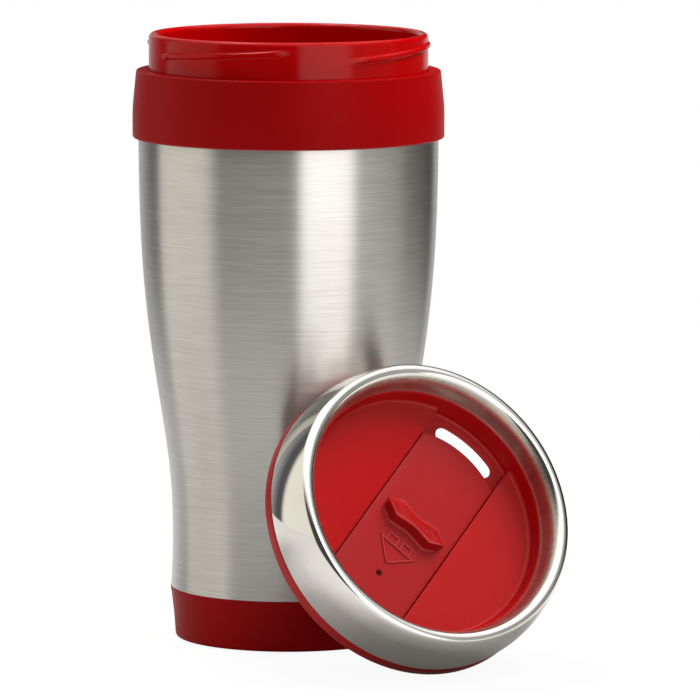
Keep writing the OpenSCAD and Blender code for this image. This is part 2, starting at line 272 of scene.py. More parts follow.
def loft(
    name: str, sections: Sequence[Sequence[Sequence[float]]], closed: bool = False
) -> bpy.types.Object:
    """A solid that runs through closed sections of the same number of points.

    Args:
        name: Name of the object.
        sections: The sections in order, each a list of (x, y, z) points.
        closed: Whether the last section joins the first one. If not, both are capped.

    Returns:
        The new object.
    """
    shape = bmesh.new()
    rings = [[shape.verts.new(Vector(point) * MM) for point in section] for section in sections]
    count = len(rings[0])
    for low, high in zip(rings, rings[1:] + (rings[:1] if closed else [])):
        for i in range(count):
            j = (i + 1) % count
            shape.faces.new((low[i], low[j], high[j], high[i]))
    if not closed:
        shape.faces.new(rings[0])
        shape.faces.new(rings[-1])
    return to_object(name, shape)


def stacked(outline: Callable[[float], list[Point]], levels: Sequence[Point]) -> list[list[Any]]:
    """Sections of a solid that stands on one outline, grown or shrunk from level to level.

    Args:
        outline: Gives the outline's points for a distance that it is grown outward.
        levels: The sections in order, each as (growth, height).

    Returns:
        The sections, ready for loft().
    """
    return [[(x, y, height) for x, y in outline(growth)] for growth, height in levels]


def work(piece: bpy.types.Object, how: Joinery, tools: Sequence[bpy.types.Object]) -> None:
    """Adds tools to a piece or cuts them out of it, and removes the tools.

    Args:
        piece: The object that is changed.
        how: Whether the tools are added or cut out.
        tools: The other solids.
    """
    for tool in tools:
        modifier = piece.modifiers.new(how.name.lower(), "BOOLEAN")
        modifier.operation = how.value
        modifier.solver = "MANIFOLD"
        modifier.object = tool
    worked = piece.evaluated_get(bpy.context.evaluated_depsgraph_get())
    old_mesh = piece.data
    piece.data = bpy.data.meshes.new_from_object(worked)
    piece.data.name = piece.name
    piece.modifiers.clear()
    bpy.data.meshes.remove(old_mesh)
    for tool in tools:
        bpy.data.objects.remove(tool)
    shade(piece.data)


# ---------------------------------------------------------------- nodes


class Signal:
    """A value, colour, vector or shader on its way from one node to the next.

    Arithmetic on it adds Math nodes, so it is for values only: colours and vectors go through
    mixed() and stretched().
    """

    def __init__(self, kit: NodeKit, socket: bpy.types.NodeSocket) -> None:
        self.kit = kit
        self.socket = socket

    def math(self, operation: str, *others: Any) -> Signal:
        """A Math node with this signal as its first value."""
        return self.kit.math(operation, self, *others)

    def __add__(self, other: Signal | float) -> Signal:
        """This signal plus another value."""
        return self.math("ADD", other)

    __radd__ = __add__

    def __sub__(self, other: Signal | float) -> Signal:
        """This signal less another value."""
        return self.math("SUBTRACT", other)

    def __rsub__(self, other: float) -> Signal:
        """A number less this signal."""
        return self.kit.math("SUBTRACT", other, self)

    def __mul__(self, other: Signal | float) -> Signal:
        """This signal times another value."""
        return self.math("MULTIPLY", other)

    __rmul__ = __mul__

    def __truediv__(self, other: Signal | float) -> Signal:
        """This signal divided by another value."""
        return self.math("DIVIDE", other)

    def __rtruediv__(self, other: float) -> Signal:
        """A number divided by this signal."""
        return self.kit.math("DIVIDE", other, self)

    def __neg__(self) -> Signal:
        """This signal with its sign turned round."""
        return self.math("MULTIPLY", -1.0)

    def eased(self, low: float, high: float) -> Signal:
        """0 below low, 1 above high, and a smooth step between them."""
        values = {"Value": self, "From Min": low, "From Max": high}
        return self.kit.add("ShaderNodeMapRange", {"interpolation_type": "SMOOTHSTEP"}, values)

    def mixed(self, low: Signal | Colour, high: Signal | Colour) -> Signal:
        """A colour between low and high, with this signal as the share of high."""
        colours = {"Factor": self, "A": low, "B": high}
        return self.kit.add("ShaderNodeMix", {"data_type": "RGBA"}, colours, "Result")

    def stretched(self, x: float, y: float, z: float) -> Signal:
        """This vector with each of its parts multiplied by a number."""
        values = {0: self, 1: (x, y, z)}
        return self.kit.add("ShaderNodeVectorMath", {"operation": "MULTIPLY"}, values)

    def part(self, axis: str) -> Signal:
        """The X, Y or Z part of this vector."""
        return self.kit.add("ShaderNodeSeparateXYZ", {}, {"Vector": self}, axis)


class NodeKit:
    """Adds nodes to one node tree."""

    def __init__(self, tree: bpy.types.NodeTree) -> None:
        """Empties the tree and keeps it."""
        self.tree = tree
        tree.nodes.clear()

    def add(
        self, kind: str, settings: dict[str, Any], inputs: dict[Any, Any], output: Any = 0
    ) -> Signal:
        """Adds a node of any kind.

        Args:
            kind: The node's type.
            settings: Its properties, which are set first. "ramp" holds a Color Ramp's stops, as
                (place, colour).
            inputs: Values and signals for its sockets, by name or number.
            output: The name or number of the socket that is wanted.

        Returns:
            The signal of that socket.
        """
        node = self.tree.nodes.new(kind)
        for name, value in settings.items():
            if name == "ramp":
                self._set_ramp(node.color_ramp, value)
            else:
                setattr(node, name, value)
        for key, value in inputs.items():
            target = self._socket(node.inputs, key)
            if isinstance(value, Signal):
                self.tree.links.new(value.socket, target)
            else:
                target.default_value = value
        found = None if not node.outputs else self._socket(node.outputs, output)
        return Signal(self, found)

    @staticmethod
    def _socket(sockets: Any, key: Any) -> bpy.types.NodeSocket:
        """Finds a socket.

        Args:
            sockets: A node's inputs or outputs.
            key: The socket's number, or its name among those in use.

        Returns:
            The socket.
        """
        if isinstance(key, int):
            return sockets[key]
        return next(s for s in sockets if s.name == key and s.enabled)

    @staticmethod
    def _set_ramp(ramp: bpy.types.ColorRamp, stops: Sequence[tuple[float, Colour]]) -> None:
        """Gives a colour ramp its stops.

        Args:
            ramp: The ramp.
            stops: Its stops in order, as (place, colour).
        """
        while len(ramp.elements) < len(stops):
            ramp.elements.new(1.0)
        for element, (place, colour) in zip(ramp.elements, stops):
            element.position = place
            element.color = colour

    def math(self, operation: str, *values: Any) -> Signal:
        """A Math node on values and signals."""
        return self.add("ShaderNodeMath", {"operation": operation}, dict(enumerate(values)))

    def place(self) -> Signal:
        """The place on the piece, in metres, in the piece's own frame."""
        return self.add("ShaderNodeTexCoord", {}, {}, "Object")

    def noise(
        self, vector: Signal, size: float, detail: float = 2.0, rough: float = 0.5
    ) -> Signal:
        """Cloudy noise from 0 to 1.

        Args:
            vector: The place that it is read at, in metres.
            size: Size of its clouds, in millimetres.
            detail: How many finer layers it has.
            rough: Strength of the finer layers.

        Returns:
            The noise's value.
        """
        inputs = {"Vector": vector, "Scale": 1 / (size * MM), "Detail": detail, "Roughness": rough}
        return self.add("ShaderNodeTexNoise", {}, inputs)

    def bump(self, height: Signal, depth: float) -> Signal:
        """A surface normal from a height between 0 and 1 that stands for depth millimetres."""
        return self.add("ShaderNodeBump", {}, {"Height": height, "Distance": depth * MM})

    def principled(self, inputs: dict[str, Any]) -> None:
        """Ends a material with a Principled shader."""
        shader = self.add("ShaderNodeBsdfPrincipled", {}, inputs, "BSDF")
        self.add("ShaderNodeOutputMaterial", {}, {"Surface": shader})


def paint(red: int, green: int, blue: int) -> Colour:
    """A colour written as it shows on a screen, turned into linear light.

    Args:
        red: Its red part, from 0 to 255.
        green: Its green part.
        blue: Its blue part.

    Returns:
        The colour, from 0 to 1 and opaque.
    """

    def linear(value: int) -> float:
        """One part in linear light, by the sRGB curve."""
        share = value / 255
        return share / 12.92 if share <= 0.04045 else ((share + 0.055) / 1.055) ** 2.4

    return linear(red), linear(green), linear(blue), 1.0


def lit(colour: Colour, share: float) -> Colour:
    """A colour made darker or lighter by a share of its light."""
    return colour[0] * share, colour[1] * share, colour[2] * share, 1.0


def new_material(name: str) -> tuple[bpy.types.Material, NodeKit]:
    """Makes an empty node material.

    Args:
        name: Name of the material.
    """
    material = bpy.data.materials.new(name)
    material.use_nodes = True
    return material, NodeKit(material.node_tree)


# ---------------------------------------------------------------- finishes


@dataclass(frozen=True)
class Placing:
    """A frame that a finish is drawn in: its origin and its turn, in metres and radians."""

    origin: tuple[float, ...]
    turn: tuple[float, ...]

    @classmethod
    def of(cls, pose: Matrix) -> Placing:
        """The frame of a pose."""
        return cls(tuple(pose.translation), tuple(pose.to_euler()))

    def seen(self, kit: NodeKit, place: Signal) -> Signal:
        """A place of the piece, turned into this frame."""
        inputs = {"Vector": place, "Location": self.origin, "Rotation": self.turn}
        return kit.add("ShaderNodeMapping", {"vector_type": "TEXTURE"}, inputs)


@dataclass(frozen=True)
class MouldedPlastic:
    """Opaque coloured plastic as it comes from the mould, with handling marks.

    Edges and raised lines within a band of heights are painted pale: partly wear, partly a painted
    highlight along them. The bands are in millimetres, in the finish's own frame.
    """

    name: str
    colour: Colour
    scuff_and_highlight_colour: Colour
    roughness: float = 0.4
    grain_size: float = 0.35
    grain_depth: float = 0.012
    cloud_size: float = 26.0
    mottle: float = 0.08
    unevenness: float = 0.12
    scuffs: float = 0.3
    speck_size: float = 1.3
    speck_share: float = 0.6
    scratch_size: float = 0.5
    scratch_stretch: float = 0.12
    patch_size: float = 9.0
    scuff_roughness: float = 0.3
    gloss: float = 0.3
    frame: Placing | None = None
    wear_and_highlight_bands: tuple[Span, ...] = ()
    wear_and_highlight: float = 0.55
    wear_and_highlight_fade: float = 0.12

    def material(self) -> bpy.types.Material:
        """Builds the material.

        Returns:
            The new material.
        """
        material, kit = new_material(self.name)
        place = kit.place()
        cloud = kit.noise(place, self.cloud_size, 3.0)
        grain = kit.noise(place, self.grain_size, 3.0, 0.6)
        speck = kit.noise(place, self.speck_size, 4.0, 0.62).eased(0.66, 0.76)
        along = place.stretched(1.0, self.scratch_stretch, 1.0)
        scratch = kit.noise(along, self.scratch_size).eased(0.7, 0.78)
        patch = kit.noise(place, self.patch_size)
        marks = (speck * self.speck_share + scratch) * patch * self.scuffs
        # The pale bands added to marks here are partly wear and partly a painted highlight along
        # edges and crests.
        if self.frame:
            height = self.frame.seen(kit, place).part("Z")
            for low, high in self.wear_and_highlight_bands:
                above = height.eased(low * MM, (low + self.wear_and_highlight_fade) * MM)
                beyond = height.eased(high * MM, (high + self.wear_and_highlight_fade) * MM)
                marks = marks + above * (1 - beyond) * self.wear_and_highlight
        body = cloud.mixed(lit(self.colour, 1 - self.mottle), lit(self.colour, 1 + self.mottle))
        kit.principled(
            {
                "Base Color": marks.mixed(body, self.scuff_and_highlight_colour),
                "Roughness": self.roughness
                + (cloud - 0.5) * self.unevenness
                + marks * self.scuff_roughness,
                "Normal": kit.bump(grain, self.grain_depth),
                "Specular IOR Level": self.gloss,
            }
        )
        return material


@dataclass(frozen=True)
class BrushedSteel:
    """Steel sheet brushed round its axis, with a few longer slanting strokes."""

    name: str = "shell_steel"
    colour: Colour = paint(214, 212, 208)
    dull: Colour = paint(184, 181, 176)
    roughness: float = 0.34
    roughness_swing: float = 0.3
    unevenness: float = 0.06
    anisotropy: float = 0.95
    line_depth: float = 0.0025
    hair_size: float = 16.0
    hair_stretch: float = 90.0
    stroke_size: float = 12.0
    stroke_stretch: float = 28.0
    # Size of the slanting strokes, how far they run round the mug, and how steeply they climb
    slant_size: float = 0.9
    slant_run: float = 0.05
    slant_climb: float = 0.16
    slant_stretch: float = 2.2
    cloud_size: float = 22.0
    # How much of the brushing comes from lines, from strokes and from slanting strokes
    shares: tuple[float, float, float] = (0.7, 0.22, 0.08)
    # How deep the lines and the slanting strokes are against each other
    dents: tuple[float, float] = (0.8, 0.2)

    def material(self) -> bpy.types.Material:
        """Builds the material.

        Returns:
            The new material.
        """
        material, kit = new_material(self.name)
        place = kit.place()
        fine = place.stretched(1.0, 1.0, self.hair_stretch)
        hair = kit.noise(fine, self.hair_size, 3.0, 0.65)
        broad = place.stretched(1.0, 1.0, self.stroke_stretch)
        stroke = kit.noise(broad, self.stroke_size, 2.0, 0.6)
        side = place.part("X")
        parts = {
            "X": side * self.slant_run,
            "Y": place.part("Y") * self.slant_run,
            "Z": place.part("Z") + side * self.slant_climb,
        }
        slanted = kit.add("ShaderNodeCombineXYZ", {}, parts)
        drawn_out = slanted.stretched(1.0, 1.0, self.slant_stretch)
        slant = kit.noise(drawn_out, self.slant_size, 2.0, 0.6)
        cloud = kit.noise(place, self.cloud_size, 3.0)
        brushing = hair * self.shares[0] + stroke * self.shares[1] + slant * self.shares[2]
        dented = hair * self.dents[0] + slant * self.dents[1]
        kit.principled(
            {
                "Base Color": brushing.eased(0.3, 0.7).mixed(self.dull, self.colour),
                "Metallic": 1.0,
                "Roughness": self.roughness
                + (brushing - 0.5) * self.roughness_swing
                + (cloud - 0.5) * self.unevenness,
                "Anisotropic": self.anisotropy,
                "Anisotropic Rotation": 0.25,
                "Normal": kit.bump(dented, self.line_depth),
            }
        )
        return material


@dataclass(frozen=True)
class PolishedSteel:
    """Mirror-polished steel with faint wipe marks, left satin on the inner side of a ring.

    The ring's axis is the frame's Z axis. Steel nearer to it than satin_r is satin.
    """

    frame: Placing
    satin_r: float
    name: str = "ring_steel"
    colour: Colour = paint(226, 223, 218)
    satin: Colour = paint(206, 198, 186)
    roughness: float = 0.05
    satin_roughness: float = 0.34
    # Where the satin begins to fade into the mirror and where it is gone, from satin_r outward
    satin_fade: Span = (-0.25, 0.15)
    streak_size: float = 1.1
    streak_stretch: float = 0.12
    streak_swing: float = 0.2
    streak_shade: float = 0.8
    smudge_size: float = 7.0
    smudge_shade: float = 0.94
    smudge_roughness: float = 0.06
    wipe_size: float = 3.0
    wipe_stretch: float = 12.0
    wipe_swing: float = 0.03
    wave_size: float = 12.0
    wave_depth: float = 0.01

    def material(self) -> bpy.types.Material:
        """Builds the material.

        Returns:
            The new material.
        """
        material, kit = new_material(self.name)
        place = kit.place()
        on_ring = self.frame.seen(kit, place)
        flat = {0: on_ring.stretched(1.0, 1.0, 0.0)}
        radius = kit.add("ShaderNodeVectorMath", {"operation": "LENGTH"}, flat, "Value")
        begin, end = (self.satin_r + reach for reach in self.satin_fade)
        inner = 1 - radius.eased(begin * MM, end * MM)
        smudge = kit.noise(place, self.smudge_size, 4.0, 0.6).eased(0.45, 0.8)
        wipe = kit.noise(place.stretched(1.0, 1.0, self.wipe_stretch), self.wipe_size)
        wave = kit.noise(place, self.wave_size, 1.0)
        along = on_ring.stretched(1.0, 1.0, self.streak_stretch)
        streak = kit.noise(along, self.streak_size, 3.0, 0.6)
        mirror = smudge.mixed(self.colour, lit(self.colour, self.smudge_shade))
        brushed = streak.eased(0.25, 0.75).mixed(lit(self.satin, self.streak_shade), self.satin)
        polish = self.roughness + smudge * self.smudge_roughness + (wipe - 0.5) * self.wipe_swing
        softness = self.satin_roughness - self.roughness + (streak - 0.5) * self.streak_swing
        kit.principled(
            {
                "Base Color": inner.mixed(mirror, brushed),
                "Metallic": 1.0,
                "Roughness": polish + inner * softness,
                "Normal": kit.bump(wave, self.wave_depth),
            }
        )
        return material


@dataclass(frozen=True)
class SoftMould:
    """Foam, rubber or silicone: matt, with open cells or a fine moulded grain."""

    name: str
    colour: Colour
    shadow: Colour
    roughness: float = 0.8
    unevenness: float = 0.1
    cell_size: float = 0.8
    cell_depth: float = 0.05
    cloud_size: float = 6.0

    def material(self) -> bpy.types.Material:
        """Builds the material.

        Returns:
            The new material.
        """
        material, kit = new_material(self.name)
        place = kit.place()
        inputs = {"Vector": place, "Scale": 1 / (self.cell_size * MM)}
        cells = kit.add("ShaderNodeTexVoronoi", {}, inputs)
        cloud = kit.noise(place, self.cloud_size, 4.0)
        tone = (cells * 0.5 + cloud * 0.5).eased(0.2, 0.7)
        kit.principled(
            {
                "Base Color": tone.mixed(self.shadow, self.colour),
                "Roughness": self.roughness + (cloud - 0.5) * self.unevenness,
                "Normal": kit.bump(cells + cloud, self.cell_depth),
            }
        )
        return material


Finish = MouldedPlastic | BrushedSteel | PolishedSteel | SoftMould


@cache
def made_material(finish: Finish) -> bpy.types.Material:
    """The material of a finish, made once however many pieces wear it."""
    return finish.material()


GLOSS_RED = MouldedPlastic(
    name="gloss_red",
    colour=paint(186, 0, 2),
    scuff_and_highlight_colour=paint(196, 46, 50),
    roughness=0.12,
    grain_depth=0.002,
    mottle=0.03,
    scuffs=0.12,
    gloss=0.16,
)
COLLAR_RED = MouldedPlastic(
    name="collar_red",
    colour=paint(158, 0, 3),
    scuff_and_highlight_colour=paint(172, 34, 38),
    roughness=0.42,
    scuffs=0.3,
    gloss=0.09,
)
LID_RED = MouldedPlastic(
    name="lid_red",
    colour=paint(171, 0, 3),
    scuff_and_highlight_colour=paint(186, 44, 50),
    roughness=0.34,
    scuffs=0.2,
    gloss=0.3,
)
SLIDER_RED = MouldedPlastic(
    name="slider_red",
    colour=paint(158, 4, 9),
    scuff_and_highlight_colour=paint(188, 64, 70),
    roughness=0.42,
    grain_size=0.5,
    scuffs=0.5,
    gloss=0.42,
)
STEEL = BrushedSteel()
FOAM = SoftMould(
    name="insulating_foam",
    colour=paint(238, 234, 220),
    shadow=paint(196, 190, 172),
    roughness=0.9,
)
RUBBER = SoftMould(
    name="foot_rubber",
    colour=paint(44, 43, 43),
    shadow=paint(24, 24, 25),
    roughness=0.72,
    cell_size=0.5,
    cell_depth=0.02,
)
SILICONE = SoftMould(
    name="seal_silicone",
    colour=paint(220, 218, 208),
    shadow=paint(196, 192, 180),
    roughness=0.45,
    cell_size=0.4,
    cell_depth=0.008,
)


# ---------------------------------------------------------------- assemblies


class Slot(Enum):
    """Names of the material slots."""

    GLOSS = "gloss_red_plastic"
    MATT = "matte_red_plastic"
    BRUSHED = "brushed_steel"
    POLISHED = "polished_steel"
    FOAM = "foam"
    RUBBER = "dark_rubber"
    SILICONE = "pale_silicone"


class Assembly:
    """Pieces that ride on one body."""

    body: str

    def fit(self, piece: bpy.types.Object, node: str, finish: Finish, slot: Slot) -> None:
        """Dresses a piece and puts it in the place of the CAD node that it stands for.

        Args:
            piece: The new piece, at its place.
            node: The CAD node that it replaces.
            finish: What its surface is made of.
            slot: The slot for that finish; it is not used.
        """
        piece.data.materials.clear()
        piece.data.materials.append(made_material(finish))
        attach(piece, self.body)
        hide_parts(node)
        bpy.context.view_layer.update()
        corners = [piece.matrix_world @ Vector(corner) for corner in piece.bound_box]
        low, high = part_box(node)
        drift = max(
            max(abs(min(c[axis] for c in corners) - low[axis]) for axis in range(3)),
            max(abs(max(c[axis] for c in corners) - high[axis]) for axis in range(3)),
        )
        faces = len(piece.data.polygons)
        told = piece.name, self.body, faces, drift / MM
        log.info("%s on %s: %d faces, %.2f mm from its node's box", *told)


@dataclass
class Thread:
    """Short ridges round a wall that together make a thread with several starts.

    low and high are the wall's heights in the order in which its outline runs.
    """

    wall_r: float
    middle_z: float
    low: float
    high: float
    outward: bool = True
    first: float = 238.0
    starts: int = 4
    lead: float = 15.0
    span: float = 66.0
    depth: float = 0.8
    root: float = 2.0
    crest_share: float = 0.4
    run_out: float = 9.0
    row: float = 0.22

    def rows(self) -> list[Point]:
        """The wall's points, close enough together to carry the ridges."""
        steps = round(abs(self.high - self.low) / self.row)
        return line((self.wall_r, self.low), (self.wall_r, self.high), steps)

    def climb(self, turn: float) -> float:
        """How far a ridge has climbed at some way round from its middle.

        Args:
            turn: The angle from the ridge's middle, in degrees.

        Returns:
            The climb, which falls back to the next ridge's start between two ridges.
        """
        edge, gap_end = self.span / 2, 180 / self.starts
        if abs(turn) <= edge:
            return self.lead * turn / 360
        left = smooth((gap_end - abs(turn)) / (gap_end - edge))
        return math.copysign(self.lead * edge / 360, turn) * left

    def relief(self, radius: float, height: float, angle: float) -> Point:
        """Moves a point of the wall onto the thread; see revolve().

        Args:
            radius: The point's radius.
            height: Its height.
            angle: Its angle round the axis, in degrees.

        Returns:
            Its new radius and height.
        """
        low, high = min(self.low, self.high), max(self.low, self.high)
        if abs(radius - self.wall_r) > WALL_SLACK or not low <= height <= high:
            return radius, height
        pitch = 360 / self.starts
        turn = (angle - self.first + pitch / 2) % pitch - pitch / 2
        off = height - self.middle_z
        room = (high - self.middle_z if off > 0 else self.middle_z - low) - self.root / 2
        share = min(1.0, (room + self.root / 2 - abs(off)) / room)
        flank = (1 - abs(off) / (self.root / 2)) / (1 - self.crest_share)
        fade = smooth((self.span / 2 - abs(turn)) / self.run_out)
        rise = self.depth * smooth(flank) * fade
        return radius + (rise if self.outward else -rise), height + self.climb(turn) * share


@dataclass
class Mug(Assembly):
    """The standing part: liner, insulation, steel shell, collar, base cap and foot pad."""

    body: str = "mug"
    height: float = 172.0
    shell_top_r: float = 42.4
    waist_r: float = 32.8
    waist_z: float = 28.9
    foot_flare: float = 0.45
    shell_t: float = 0.6
    neck_inset: float = 3.0
    neck_wall: float = 2.5
    neck_h: float = 10.4
    liner_wall: float = 2.0
    liner_floor: float = 2.5
    liner_floor_z: float = 10.0
    liner_floor_round: float = 6.0
    liner_side_start: float = 7.0
    liner_side_end: float = 1.0
    # How much lower the liner's floor is at its edge than in the middle
    liner_dish: float = 0.3
    rim_drop: float = 0.3
    foam_shoulder: float = 4.0
    foam_t: float = 3.0
    foam_gap: float = 0.25
    fit_gap: float = 0.15
    collar_wall: float = 1.35
    collar_h: float = 19.1
    collar_taper: float = 1.05
    collar_straight: float = 8.5
    lip_t: float = 2.0
    shoulder_proud: float = 0.1
    shoulder_drop: float = 6.0
    base_h: float = 15.0
    base_z: float = 0.5
    base_inset: float = 1.3
    base_proud: float = 0.2
    base_curve: float = 0.45
    base_row_z: float = 2.2
    base_row: float = 0.7
    base_rows: int = 17
    base_floor: float = 2.5
    spigot_h: float = 6.0
    boss_r: float = 16.0
    boss_wall: float = 3.0
    pad_inset: float = 4.95
    pad_t: float = 1.6
    pad_rings: tuple[float, ...] = (7.0, 12.0, 17.0, 22.0)
    # Half of a moulded ring's section: how far each point is from its middle, and its depth
    pad_ring_side: tuple[Point, ...] = ((0.6, 0.0), (0.35, 0.25), (0.0, 0.35))
    thread_rise: float = 6.3
    thread_start: float = 0.4

    @property
    def neck_r(self) -> float:
        """Outer radius of the threaded neck."""
        return self.shell_top_r - self.neck_inset

    @property
    def collar_top(self) -> float:
        """Height of the ledge round the neck, where the lid's flange seats."""
        return self.height - self.neck_h

    @property
    def collar_bore(self) -> float:
        """Inside radius of the collar."""
        return self.shell_top_r + self.shoulder_proud + self.fit_gap

    @property
    def collar_r(self) -> float:
        """Largest radius of the collar."""
        return self.collar_bore + self.collar_wall

    @property
    def shoulder_z(self) -> float:
        """Underside of the liner's shoulder, where the steel shell ends."""
        return self.collar_top - 2 * self.lip_t

    @property
    def inset(self) -> float:
        """From the shell's outer face to the liner's."""
        return self.shell_t + self.foam_t + 2 * self.foam_gap

    @property
    def foot_r(self) -> float:
        """Radius of the base cap where it meets the floor."""
        return self.shell_radius(self.base_h) - self.base_inset

    def shell_radius(self, z: float) -> float:
        """Outer radius of the steel shell: an S-curve above the waist, a slight flare below.

        Args:
            z: Height above the floor.

        Returns:
            The radius at that height.
        """
        rise = (z - self.waist_z) / (self.height - self.waist_z)
        if rise > 0:
            return self.waist_r + (self.shell_top_r - self.waist_r) * (1 - (1 - rise) ** 4) ** 3
        drop = (self.waist_z - z) / (self.waist_z - self.base_h)
        return self.waist_r + self.foot_flare * drop**2

    def shell_line(self, low: float, high: float, inset: float, steps: int = 60) -> list[Point]:
        """The shell's curve from one height to another, moved in by inset."""
        heights = [low + (high - low) * i / steps for i in range(steps + 1)]
        return [(self.shell_radius(z) - inset, z) for z in heights]

    def thread(self) -> Thread:
        """The neck's outer thread.

        Returns:
            The thread.
        """
        return Thread(
            wall_r=self.neck_r,
            middle_z=self.collar_top + self.thread_rise,
            low=self.collar_top + self.thread_start,
            high=self.height - self.neck_wall / 2,
        )

    def make_liner(self) -> bpy.types.Object:
        """Makes the cup that holds the drink, with its shoulder and its threaded neck.

        Returns:
            The liner.
        """
        thread = self.thread()
        foam_top = self.shoulder_z - self.shoulder_drop
        neck_foot = foam_top + self.foam_shoulder
        low = self.liner_floor_z + self.liner_floor
        lip_low, lip_high = self.shoulder_z, self.shoulder_z + self.lip_t
        shoulder_r = self.shell_top_r + self.shoulder_proud
        outer = self.shell_line(self.base_h, foam_top, self.inset)
        side_low, side_high = low + self.liner_side_start, foam_top - self.liner_side_end
        inner = self.shell_line(side_low, side_high, self.inset + self.liner_wall)
        bore = self.neck_r - self.neck_wall
        to_neck = rounded(
            [
                (*outer[-1], 0),
                (self.neck_r, neck_foot, 1.5),
                (self.neck_r, lip_low, 0.2),
                (shoulder_r, lip_low, 0.2),
                (shoulder_r, lip_high, 0.2),
                (self.neck_r, lip_high, 0.2),
                (*thread.rows()[0], 0),
            ]
        )
        rim = arc((self.neck_r - self.neck_wall / 2, thread.high), self.neck_wall / 2, 0, 180, 14)
        to_floor = rounded(
            [
                (bore, thread.high - self.rim_drop, 0),
                (bore, neck_foot, 8.0),
                (*inner[-1], 3.0),
                (*inner[-2], 0),
            ],
            steps=8,
        )
        floor = rounded(
            [
                (*inner[0], 0),
                (inner[0][0] - 0.1, low, self.liner_floor_round),
                (0, low + self.liner_dish, 0),
            ],
            steps=10,
        )
        foot = [(0.0, self.liner_floor_z), (outer[0][0], self.liner_floor_z)]
        outside = [*foot, *outer[:-1], *to_neck[:-1], *thread.rows()[:-1], *rim]
        profile = [*outside, *to_floor, *inner[-3::-1][:-1], *floor]
        return revolve("cup_liner", profile, thread.relief)

    def make_foam_sleeve(self) -> bpy.types.Object:
        """Makes the insulation between liner and shell.

        Returns:
            The sleeve.
        """
        low = self.base_h + self.spigot_h
        high = self.shoulder_z - self.shoulder_drop - self.foam_gap
        outer = self.shell_line(low, high, self.shell_t + self.foam_gap)
        inner = self.shell_line(low, high, self.inset - self.foam_gap)
        return revolve("foam_sleeve", outer + inner[::-1])

    def make_shell(self) -> bpy.types.Object:
        """Makes the brushed steel sheet that is the mug's outside.

        Returns:
            The shell.
        """
        outer = self.shell_line(self.base_h, self.shoulder_z, 0.0, 110)
        inner = self.shell_line(self.base_h, self.shoulder_z, self.shell_t, 40)
        return revolve("steel_shell", outer + inner[::-1])

    def make_collar(self) -> bpy.types.Object:
        """Makes the band at the top, with the ledge that the lid seats on.

        Returns:
            The collar.
        """
        low, top = self.collar_top - self.collar_h, self.collar_top
        neck_bore = self.neck_r + self.fit_gap
        profile = rounded(
            [
                (self.collar_bore, low, 0.15),
                (self.collar_r, low, 0.8),
                (self.collar_r, low + self.collar_straight, 50.0),
                (self.collar_r - self.collar_taper, top, 0.55),
                (neck_bore, top, 0.2),
                (neck_bore, top - self.lip_t, 0),
                (self.collar_bore, top - self.lip_t, 0),
            ],
            closed=True,
            steps=8,
        )
        return revolve("collar_band", profile)

    def base_radius(self, z: float) -> float:
        """Radius of the base cap's side, which widens more towards its top.

        Args:
            z: Height above the floor.

        Returns:
            The radius at that height.
        """
        rise = (z - self.base_z) / (self.base_h - self.base_z)
        top = self.shell_radius(self.base_h) + self.base_proud
        bend = (1 - self.base_curve) * rise + self.base_curve * rise * rise
        return self.foot_r + (top - self.foot_r) * bend

    def make_base_cap(self) -> bpy.types.Object:
        """Makes the plastic foot, with the recess that holds the pad.

        Returns:
            The base cap.
        """
        inner = self.shell_radius(self.base_h) - self.inset + self.foam_gap
        spigot_top = self.base_h + self.spigot_h
        spigot = self.shell_radius(spigot_top) - self.shell_t - self.fit_gap
        floor_top = self.base_z + self.base_floor
        recess = self.foot_r - self.pad_inset + self.fit_gap
        boss_bore = self.boss_r - self.boss_wall
        heights = [self.base_row_z + self.base_row * i for i in range(self.base_rows)]
        side = [(self.base_radius(z), z) for z in heights]
        underside = rounded(
            [
                (0.0, self.pad_t, 0),
                (recess, self.pad_t, 0.1),
                (recess, self.base_z, 0.25),
                (self.foot_r, self.base_z, 1.2),
                (*side[0], 0),
            ],
            steps=8,
        )
        inside = rounded(
            [
                (*side[-1], 0),
                (self.base_radius(self.base_h), self.base_h, 0.35),
                (spigot, self.base_h, 0.05),
                (spigot, spigot_top, 0.3),
                (inner, spigot_top, 0.3),
                (inner, floor_top, 0.6),
                (self.boss_r, floor_top, 0.4),
                (self.boss_r, self.liner_floor_z, 0.2),
                (boss_bore, self.liner_floor_z, 0.2),
                (boss_bore, floor_top, 0.4),
                (0.0, floor_top, 0),
            ]
        )
        return revolve("base_cap_shell", underside + side[1:] + inside[1:])

    def make_foot_pad(self) -> bpy.types.Object:
        """Makes the non-slip pad, with shallow rings moulded into its underside.

        Returns:
            The pad.
        """
        edge = self.foot_r - self.pad_inset
        under: list[Point] = [(0.0, 0.0)]
        for ring in self.pad_rings:
            under += [(ring - reach, depth) for reach, depth in self.pad_ring_side]
            under += [(ring + reach, depth) for reach, depth in self.pad_ring_side[-2::-1]]
        corners = [(*under[-1], 0), (edge, 0, 0.3), (edge, self.pad_t, 0.1), (0, self.pad_t, 0)]
        return revolve("non_slip_pad", under + rounded(corners)[1:])

    def build(self) -> None:
        """Makes, dresses and places every piece of the mug."""
        self.fit(self.make_liner(), "inner_liner", GLOSS_RED, Slot.GLOSS)
        self.fit(self.make_foam_sleeve(), "insulation_sleeve", FOAM, Slot.FOAM)
        self.fit(self.make_shell(), "outer_shell", STEEL, Slot.BRUSHED)
        self.fit(self.make_collar(), "neck_collar", COLLAR_RED, Slot.MATT)
        self.fit(self.make_base_cap(), "base_cap", COLLAR_RED, Slot.MATT)
        self.fit(self.make_foot_pad(), "foot_pad", RUBBER, Slot.RUBBER)


